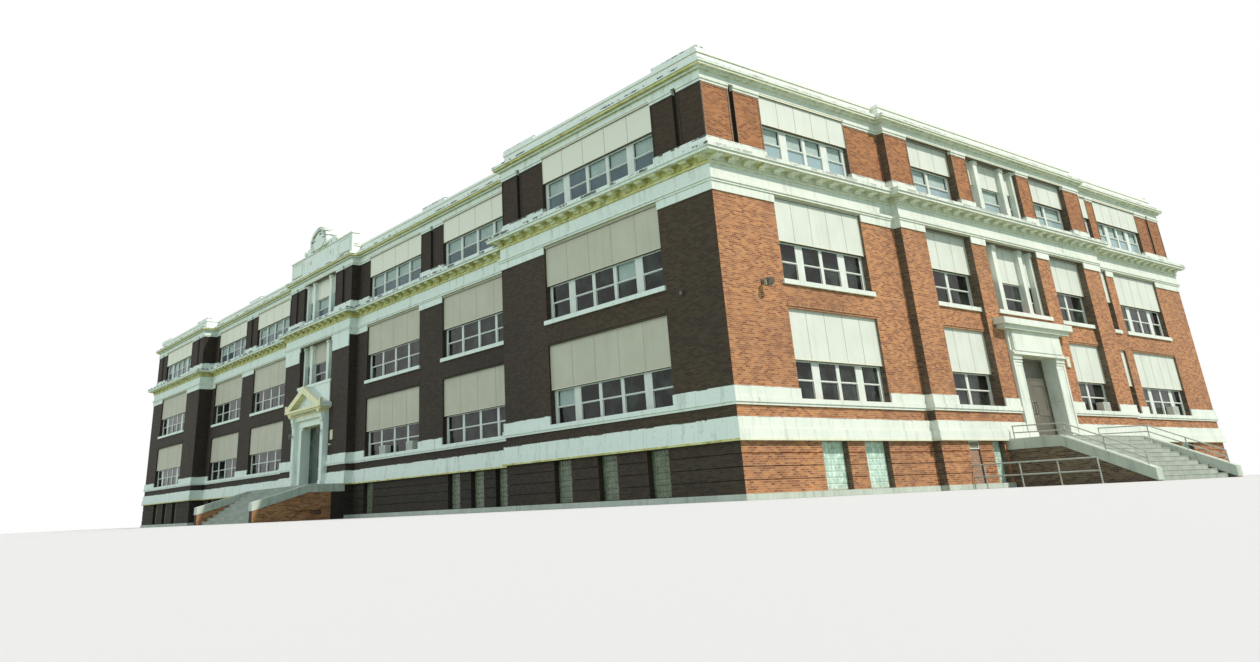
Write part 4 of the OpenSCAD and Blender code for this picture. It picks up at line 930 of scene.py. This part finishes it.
def makeBlinds(look):
    chance = random.Random(look.seed)
    rim = look.rim
    for node in frameNodes:
        blinds, panes, patterns = [], [], {}
        for wall in solids(node):
            share = look.shareLow
            if storey(wall) == 3:
                share = look.shareSunny if wall.turn == 90 else look.shareHigh
            for x, z, size, row in lightsOf(wall):
                if size not in patterns:
                    far = (size[0] - rim, look.pane, size[1] - rim)
                    patterns[size] = (blindPattern(size[0] - 2 * look.narrower, size[1], look),
                                      easedBlock("pane", (rim, 0, rim), far, look.ease))
                blind, pane = patterns[size]
                if row == 1 and chance.random() < share:
                    blinds.append(onWall(blind, wall, x + look.narrower, wall.front + look.behind, z))
                else:
                    # A dark pane in the sash: painted shade for the unlit room
                    sash = (sashLook.upperSet if row else sashLook.lowerSet) + sashLook.depth / 2
                    panes.append(onWall(pane, wall, x, wall.front + sash, z))
        spare = [piece for pair in patterns.values() for piece in pair]
        side = node.split("_")[0]
        dress(joined(side + "_blinds", blinds, spare), "blindCloth")
        dress(joined(side + "_shade_panes", panes), "sashGlass")


makeBlinds(blindLook)
print("pieces: blinds and panes")

# Glass blocks of the basement windows
cellLook = Look(cell=0.098, joint=0.005, proud=0.006, round=0.014, crown=0.005, sunk=0.002)


def blockPattern(width, height, look):
    columns, rows = max(1, round(width / look.cell)), max(1, round(height / look.cell))
    piece = sheet("glassCells", width, height, columns, rows)
    selectFaces(piece, lambda normal: True)
    bpy.ops.mesh.inset(thickness=look.joint, depth=look.proud, use_individual=True)
    secondFinish(piece, "mortar", "blockGlass")
    bpy.ops.mesh.inset(thickness=look.round, depth=look.crown, use_individual=True)
    bpy.ops.object.mode_set(mode="OBJECT")
    return piece


def makeGlassBlocks(look):
    cells, patterns = [], {}
    for wall in solids("basement_windows"):
        size = (round(wall.wide, 3), round(wall.tall, 3))
        if size not in patterns:
            patterns[size] = blockPattern(*size, look)
        cells.append(onWall(patterns[size], wall, wall.left, wall.front + look.sunk, wall.foot))
    dress(joined("basement_glass_blocks", cells, patterns.values()), None)


makeGlassBlocks(cellLook)
print("pieces: glass blocks")

# Raised brick borders round the attic fields, in the paler infill brick as a painted highlight on their
# edges
fieldLook = Look(width=0.034, proud=0.009, ease=0.002, leastWide=0.30, leastTall=0.9)


def makeFieldBorders(look):
    edge = strip("fieldEdge", look.width, look.proud, look.ease)
    laid = []
    for wall in flatFaces("attic_pier_panels"):
        if wall.wide > look.leastWide and wall.tall > look.leastTall and wall.front < 0:
            laid += border(edge, look.width, wall, wall.front)
    dress(joined("attic_field_borders", laid, [edge]), "infillBrick")


makeFieldBorders(fieldLook)
print("pieces: attic field borders")


# Leaves and rosettes, their sizes as shares of the whole
ornamentLook = Look(
    taper=0.75, curl=0.5, groove=0.25, rib=0.12, ring=0.8, ringHalf=0.2, petals=6, petal=(0.62, 0.34),
    button=0.16)


def ball(name, radius, scale=(1, 1, 1), place=(0, 0, 0)):
    return primitive(name, bpy.ops.mesh.primitive_uv_sphere_add, scale, segments=12, ring_count=8,
                     radius=radius, location=place)


def leafPattern(length, width, thick, look=ornamentLook):
    piece = ball("leaf", 0.5, (width, thick, length), (0, 0, length / 2))
    for point in piece.data.vertices:
        rise = (point.co.z / length) ** 2
        point.co.x *= 1.0 - look.taper * rise
        rib = max(0.0, 1.0 - abs(point.co.x) / (look.rib * width))
        point.co.y += thick * (look.groove * rib - look.curl * rise)  # the tip curls forward
    bpy.ops.object.shade_smooth()
    return piece


def rosettePattern(radius, thick, look=ornamentLook):
    half = look.ringHalf * radius
    ring = primitive("ring", bpy.ops.mesh.primitive_torus_add, (1, 1, thick / (2 * half)),
                     major_radius=look.ring * radius, minor_radius=half, major_segments=28,
                     minor_segments=8, rotation=facingFront)
    petal = leafPattern(look.petal[0] * radius, look.petal[1] * radius, thick)
    turns = [math.radians(360 * i / look.petals) for i in range(look.petals)]
    petals = [copyOf(petal, Matrix.Rotation(turn, 4, "Y")) for turn in turns]
    return joined("rosette", [ring, ball("button", look.button * radius)] + petals, [petal])


# Carving on the raised centre of the parapet
crestLook = Look(
    drop=0.44, wreathWide=0.51, wreathTall=0.33, leaves=22, leafFrom=-20, leafTo=200,
    leaf=(0.105, 0.075, 0.040), leafScale=0.879, face=0.100, dropX=(0.98, 1.30), dropZ=(7.80, 7.86),
    dropLeaf=(0.12, 0.075, 0.035), dropCount=4, dropStep=0.07, dropShrink=0.16, dropTip=14,
    rosetteX=(0.76, 1.66), rosetteZ=(7.72, 7.67), rosette=(0.085, 0.03), panelX=(1.42, 2.18),
    panelZ=(7.45, 7.885), panelFace=0.082, frame=0.030, frameProud=0.014, frameBack=0.004, ease=0.004)


def makeCrest(look):
    low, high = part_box("centre_crest")
    middle, front = high[2] - look.drop, low[1]
    leaf = leafPattern(*look.leaf)
    drop = leafPattern(*look.dropLeaf)
    rosette = rosettePattern(*look.rosette)
    laid = []
    for i in range(look.leaves):
        turn = math.radians(look.leafFrom + (look.leafTo - look.leafFrom) * i / (look.leaves - 1))
        place = moved(look.wreathWide * math.cos(turn), front, middle + look.wreathTall * math.sin(turn))
        lean = Matrix.Rotation(math.pi / 2 - turn, 4, "Y")
        laid.append(copyOf(leaf, place @ lean @ Matrix.Scale(look.leafScale, 4)))
    face = front + look.face
    for side in (-1, 1):
        for x, z in zip(look.dropX, look.dropZ):
            for i in range(look.dropCount):
                tip = Matrix.Rotation(math.radians(180 + look.dropTip * (-1) ** i), 4, "Y")
                size = Matrix.Scale(1.0 - look.dropShrink * i, 4)
                laid.append(copyOf(drop, moved(side * x, face, z - look.dropStep * i) @ tip @ size))
        for x, z in zip(look.rosetteX, look.rosetteZ):
            laid.append(copyOf(rosette, moved(side * x, face, z)))
        left, right = sorted(side * x for x in look.panelX)
        y = front + look.panelFace
        laid.append(ringFrame("crestPanel", (left, y - look.frameProud, look.panelZ[0]),
                              (right, y + look.frameBack, look.panelZ[1]), look.frame, look.ease))
    dress(joined("crest_carving", laid, [leaf, drop, rosette]), "carvedStone")


makeCrest(crestLook)
print("pieces: carving of the centre crest")

# Fine work on the two portals
portals = {
    "front": Look(
        turn=0, face=9.12, pilaster=(0.95, 1.15), proud=0.17, foot=1.05, head=2.55, dentils=(2.932, 2.972),
        dentilFace=0.13, dentilHalf=0.93, volutes=2.672),
    "side": Look(
        turn=90, face=17.11, pilaster=(0.72, 1.09), proud=0.05, foot=1.06, head=2.40, dentils=(3.058, 3.098),
        dentilFace=0.11, dentilHalf=1.00, volutes=0),
}
portalLook = Look(
    inset=0.028, mould=0.010, proud=0.005, ease=0.0015, dentil=0.034, gap=0.030, dentilProud=0.026,
    dentilBack=0.003, dentilEase=0.002, volute=(0.040, 0.020), voluteProud=0.025)


def makePortal(name, place, look):
    laid = []
    edge = strip("portalEdge", look.mould, look.proud, look.ease)
    for side in (-1, 1):
        left, right = sorted(side * x for x in place.pilaster)
        wall = Look(turn=place.turn, left=left, right=right, foot=place.foot, head=place.head)
        laid += border(edge, look.mould, wall, -place.face - place.proud, look.inset)
    step = look.dentil + look.gap
    count = int(2 * place.dentilHalf / step)
    dentil = easedBlock("dentil", (-look.dentil / 2, -look.dentilProud, place.dentils[0]),
                        (look.dentil / 2, look.dentilBack, place.dentils[1]), look.dentilEase)
    for i in range(count):
        laid.append(onWall(dentil, place, (i - (count - 1) / 2) * step, -place.face - place.dentilFace))
    spare = [edge, dentil]
    if place.volutes:
        scroll = rosettePattern(*look.volute)
        spare.append(scroll)
        for side in (-1, 1):
            for x, inward in zip(place.pilaster, (look.volute[0], -look.volute[0])):
                y = -place.face - place.proud - look.voluteProud
                laid.append(onWall(scroll, place, side * (x + inward), y, place.volutes))
    dress(joined(name + "_portal_fine_work", laid, spare), "trim")


for name, place in portals.items():
    makePortal(name, place, portalLook)
print("pieces: fine work of the portals")

# Doors: mouldings in the recessed panels, kick plates and handle plates
doorLook = Look(
    thick=0.024, stile=0.095, recess=0.008, edge=0.012, upper=(0.50, 0.095), lower=(0.1425, 0.42),
    mould=0.018, mouldProud=0.003, mouldEase=0.003, side=0.030, kickFoot=0.020, kickHead=0.105,
    kickProud=0.0015, kickEase=0.0007, plateLeft=0.022, plateRight=0.054, plateFoot=0.38, plateTall=0.34,
    plateProud=0.002, plateEase=0.0009, back=0.001, boss=0.011, bossDeep=0.010, bossProud=0.004,
    bossDrop=0.02, bossEase=0.002)


def makeLeafDetails(node, body, finish, look):
    wall = solids(node)[0]
    front = wall.back - look.thick
    onLeft = "left" in node
    left = wall.left + (look.edge if onLeft else 0)
    right = wall.right - (0 if onLeft else look.edge)
    rings = []
    for foot, head in ((wall.foot + look.upper[0] * wall.tall, wall.head - look.upper[1]),
                       (wall.foot + look.lower[0], wall.foot + look.lower[1] * wall.tall)):
        rings.append(ringFrame("panelMould", (left + look.stile, front - look.mouldProud, foot),
                               (right - look.stile, front + look.recess, head), look.mould, look.mouldEase))
    dress(joined(node + "_mouldings", [onWall(ring, wall) for ring in rings], rings), finish, body)
    near, far = look.plateLeft, look.plateRight
    ends = (right - far, right - near) if onLeft else (left + near, left + far)
    foot = wall.foot + look.plateFoot * wall.tall
    metal = [
        easedBlock("kick", (left + look.side, front - look.kickProud, wall.foot + look.kickFoot),
                   (right - look.side, front + look.back, wall.foot + look.kickHead), look.kickEase),
        easedBlock("plate", (ends[0], front - look.plateProud, foot),
                   (ends[1], front + look.back, foot + look.plateTall), look.plateEase),
        easedDisc("boss", look.bossEase, radius=look.boss, depth=look.bossDeep, rotation=facingFront,
                  location=(sum(ends) / 2, front - look.bossProud, foot + look.plateTall - look.bossDrop)),
    ]
    dress(joined(node + "_plates", [onWall(part, wall) for part in metal], metal), "doorMetal", body)


for side, finish in (("front", "doorGreen"), ("side", "doorGrey")):
    for hand in ("left", "right"):
        makeLeafDetails(side + "_door_" + hand + "_leaf", side + "_" + hand + "_leaf",
                        finish, doorLook)
print("pieces: door mouldings and plates")

# Plain upright plates on the walls beside the portals
plateLook = Look(
    skin=0.002, ease=0.003, rim=0.012, rimProud=0.004, rimEase=0.0015, back=0.001, tallest=0.2,
    frontX=(1.305, 1.475), frontZ=(2.100, 2.364), frontFace=-9.12, frontProud=0.022, knobX=1.34, knobZ=1.97,
    knob=0.028, knobEase=0.004)


def makePlates(look):
    box = [wall for wall in solids("wall_lights") if wall.turn == 90 and wall.tall > look.tallest][0]
    skin, face = look.skin, look.frontFace
    boxX, boxZ = (box.left - skin, box.right + skin), (box.foot - skin, box.head + skin)
    places = [(90, *boxX, *boxZ, box.front - skin, box.back),
              (0, *look.frontX, *look.frontZ, face - look.frontProud, face)]
    laid, spare = [], []
    for turn, left, right, foot, head, front, back in places:
        spare += [
            easedBlock("plate", (left, front, foot), (right, back, head), look.ease, 2),
            ringFrame("plateRim", (left + look.rim, front - look.rimProud, foot + look.rim),
                      (right - look.rim, front + look.back, head - look.rim), look.rim, look.rimEase),
        ]
        laid += [copyOf(part, turned(turn)) for part in spare[-2:]]
    laid.append(easedDisc("knob", look.knobEase, radius=look.knob, depth=2 * look.knob, rotation=facingFront,
                          location=(look.knobX, face - look.knob, look.knobZ)))
    dress(joined("wall_plates", laid, spare), "panelEdge")


makePlates(plateLook)

# Lantern panes
lanternLook = Look(
    least=0.09, low=0.033, high=0.051, tall=0.104, set=0.045, drop=0.008, bar=0.006, sunk=0.002)


def makeLanterns(look):
    laid = []
    for wall in solids("wall_lights"):
        if wall.turn or wall.wide < look.least:
            continue
        middle = ((wall.left + wall.right) / 2, wall.front + look.set, wall.foot + look.drop + look.tall / 2)
        cage = primitive("cage", bpy.ops.mesh.primitive_cone_add, vertices=6, radius1=look.low,
                         radius2=look.high, depth=look.tall, location=middle)
        selectFaces(cage, lambda normal: abs(normal.z) < facing.level)
        bpy.ops.mesh.inset(thickness=look.bar, depth=-look.sunk, use_individual=True)
        secondFinish(cage, "lampPaint", "lampGlass")
        bpy.ops.object.mode_set(mode="OBJECT")
        laid.append(cage)
    dress(joined("lantern_panes", laid), None)


makeLanterns(lanternLook)

# Grilles of the air conditioners
unitLook = Look(
    border=0.016, proud=0.004, fins=11, fin=0.004, finDepth=0.010, finProud=0.001, ease=0.001,
    finEase=0.0008)


def makeUnitGrilles(look):
    laid = []
    for wall in solids("air_conditioners"):
        ring = ringFrame("bezel", (wall.left, wall.front - look.proud, wall.foot),
                         (wall.right, wall.front + look.proud, wall.head), look.border, look.ease)
        fin = easedBlock("fin", (-look.fin / 2, 0, wall.foot + look.border),
                         (look.fin / 2, look.finDepth, wall.head - look.border), look.finEase)
        spread = wall.wide - 2 * look.border
        laid.append(onWall(ring, wall))
        for i in range(look.fins):
            x = wall.left + look.border + spread * (i + 1) / (look.fins + 1)
            laid.append(onWall(fin, wall, x, wall.front - look.finProud))
        remove(ring, fin)
    dress(joined("air_conditioner_grilles", laid), "unitPaint")


makeUnitGrilles(unitLook)

# Grille in the front cheek wall
grilleLook = Look(
    middle=-9.72, half=0.35, foot=0.135, head=0.245, bars=17, bar=0.012, sunk=0.006, barDeep=0.008,
    railSunk=0.004, ease=0.0015)


def makeCheekGrille(look):
    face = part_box("front_cheek_walls")[1][0] - look.sunk
    bar = easedBlock("bar", (face - look.barDeep, -look.bar / 2, look.foot), (face, look.bar / 2, look.head),
                     look.ease)
    rail = easedBlock("rail", (face - look.railSunk - look.barDeep, look.middle - look.half, look.foot),
                      (face - look.railSunk, look.middle + look.half, look.foot + look.bar), look.ease)
    laid = [copyOf(rail, moved(0, 0, z)) for z in (0, look.head - look.foot - look.bar)]
    for i in range(look.bars):
        y = look.middle - look.half + 2 * look.half * (i + 0.5) / look.bars
        laid.append(copyOf(bar, moved(0, y, 0)))
    dress(joined("cheek_wall_grille", laid, [bar, rail]), "ironwork")


makeCheekGrille(grilleLook)

# Vent over the bricked-up basement window
ventLook = Look(
    tall=0.150, border=0.020, proud=0.004, ease=0.0015, slats=5, slat=0.004, slatProud=0.002, slatBack=0.018,
    slatEase=0.001)


def makeVent(look):
    wall = solids("basement_infill")[0]
    foot = wall.head - look.tall
    parts = [ringFrame("ventRing", (wall.left, wall.front - look.proud, foot),
                       (wall.right, wall.front + look.proud, wall.head), look.border, look.ease)]
    for i in range(look.slats):
        z = foot + look.border + (look.tall - 2 * look.border) * (i + 0.5) / look.slats
        low = (wall.left + look.border, wall.front - look.slatProud, z - look.slat / 2)
        high = (wall.right - look.border, wall.front + look.slatBack, z + look.slat / 2)
        parts.append(easedBlock("slat", low, high, look.slatEase))
    laid = [onWall(part, wall) for part in parts]
    dress(joined("basement_vent", laid, parts), "windowFrame")


makeVent(ventLook)

# Collars at the feet of the rails
collarLook = Look(radius=0.025, tall=0.008, ease=0.002, near=0.04)


def makeCollars(look):
    collar = easedDisc("collar", look.ease, radius=look.radius, depth=look.tall)
    feet = []
    for node in ("stair_rails", "guard_rail"):
        for face in meshOf(node).polygons:
            if face.normal.z > -facing.straight:
                continue
            if all((face.center - foot).length > look.near for foot in feet):
                feet.append(face.center.copy())
    laid = [copyOf(collar, moved(foot.x, foot.y, foot.z + look.tall / 2)) for foot in feet]
    dress(joined("rail_collars", laid, [collar]), "railPaint")


makeCollars(collarLook)

# Rounded front edges of the steps
nosingLook = Look(height=0.014, proud=0.006, ease=0.004, side=0.03)


def makeNosings(look):
    laid = []
    nose = strip("nosing", look.height, look.proud, look.ease, 2)
    for node, turn in (("front_steps", 0), ("side_steps", 90)):
        mesh = meshOf(node)
        levels = {}
        for face in mesh.polygons:
            if face.normal.z > facing.straight:
                levels.setdefault(round(face.center.z, 3), []).extend(pointsOf(mesh, face))
        for points in levels.values():
            tread = describe(points, turn)
            laid.append(across(nose, tread, tread.left + look.side, tread.right - look.side, tread.front,
                               tread.head - look.height / 2))
    dress(joined("step_edges", laid, [nose]), "stepStoneShaded")


makeNosings(nosingLook)
print("pieces: lanterns, grilles, vent, collars and step edges")

# End
print("the scene is complete")
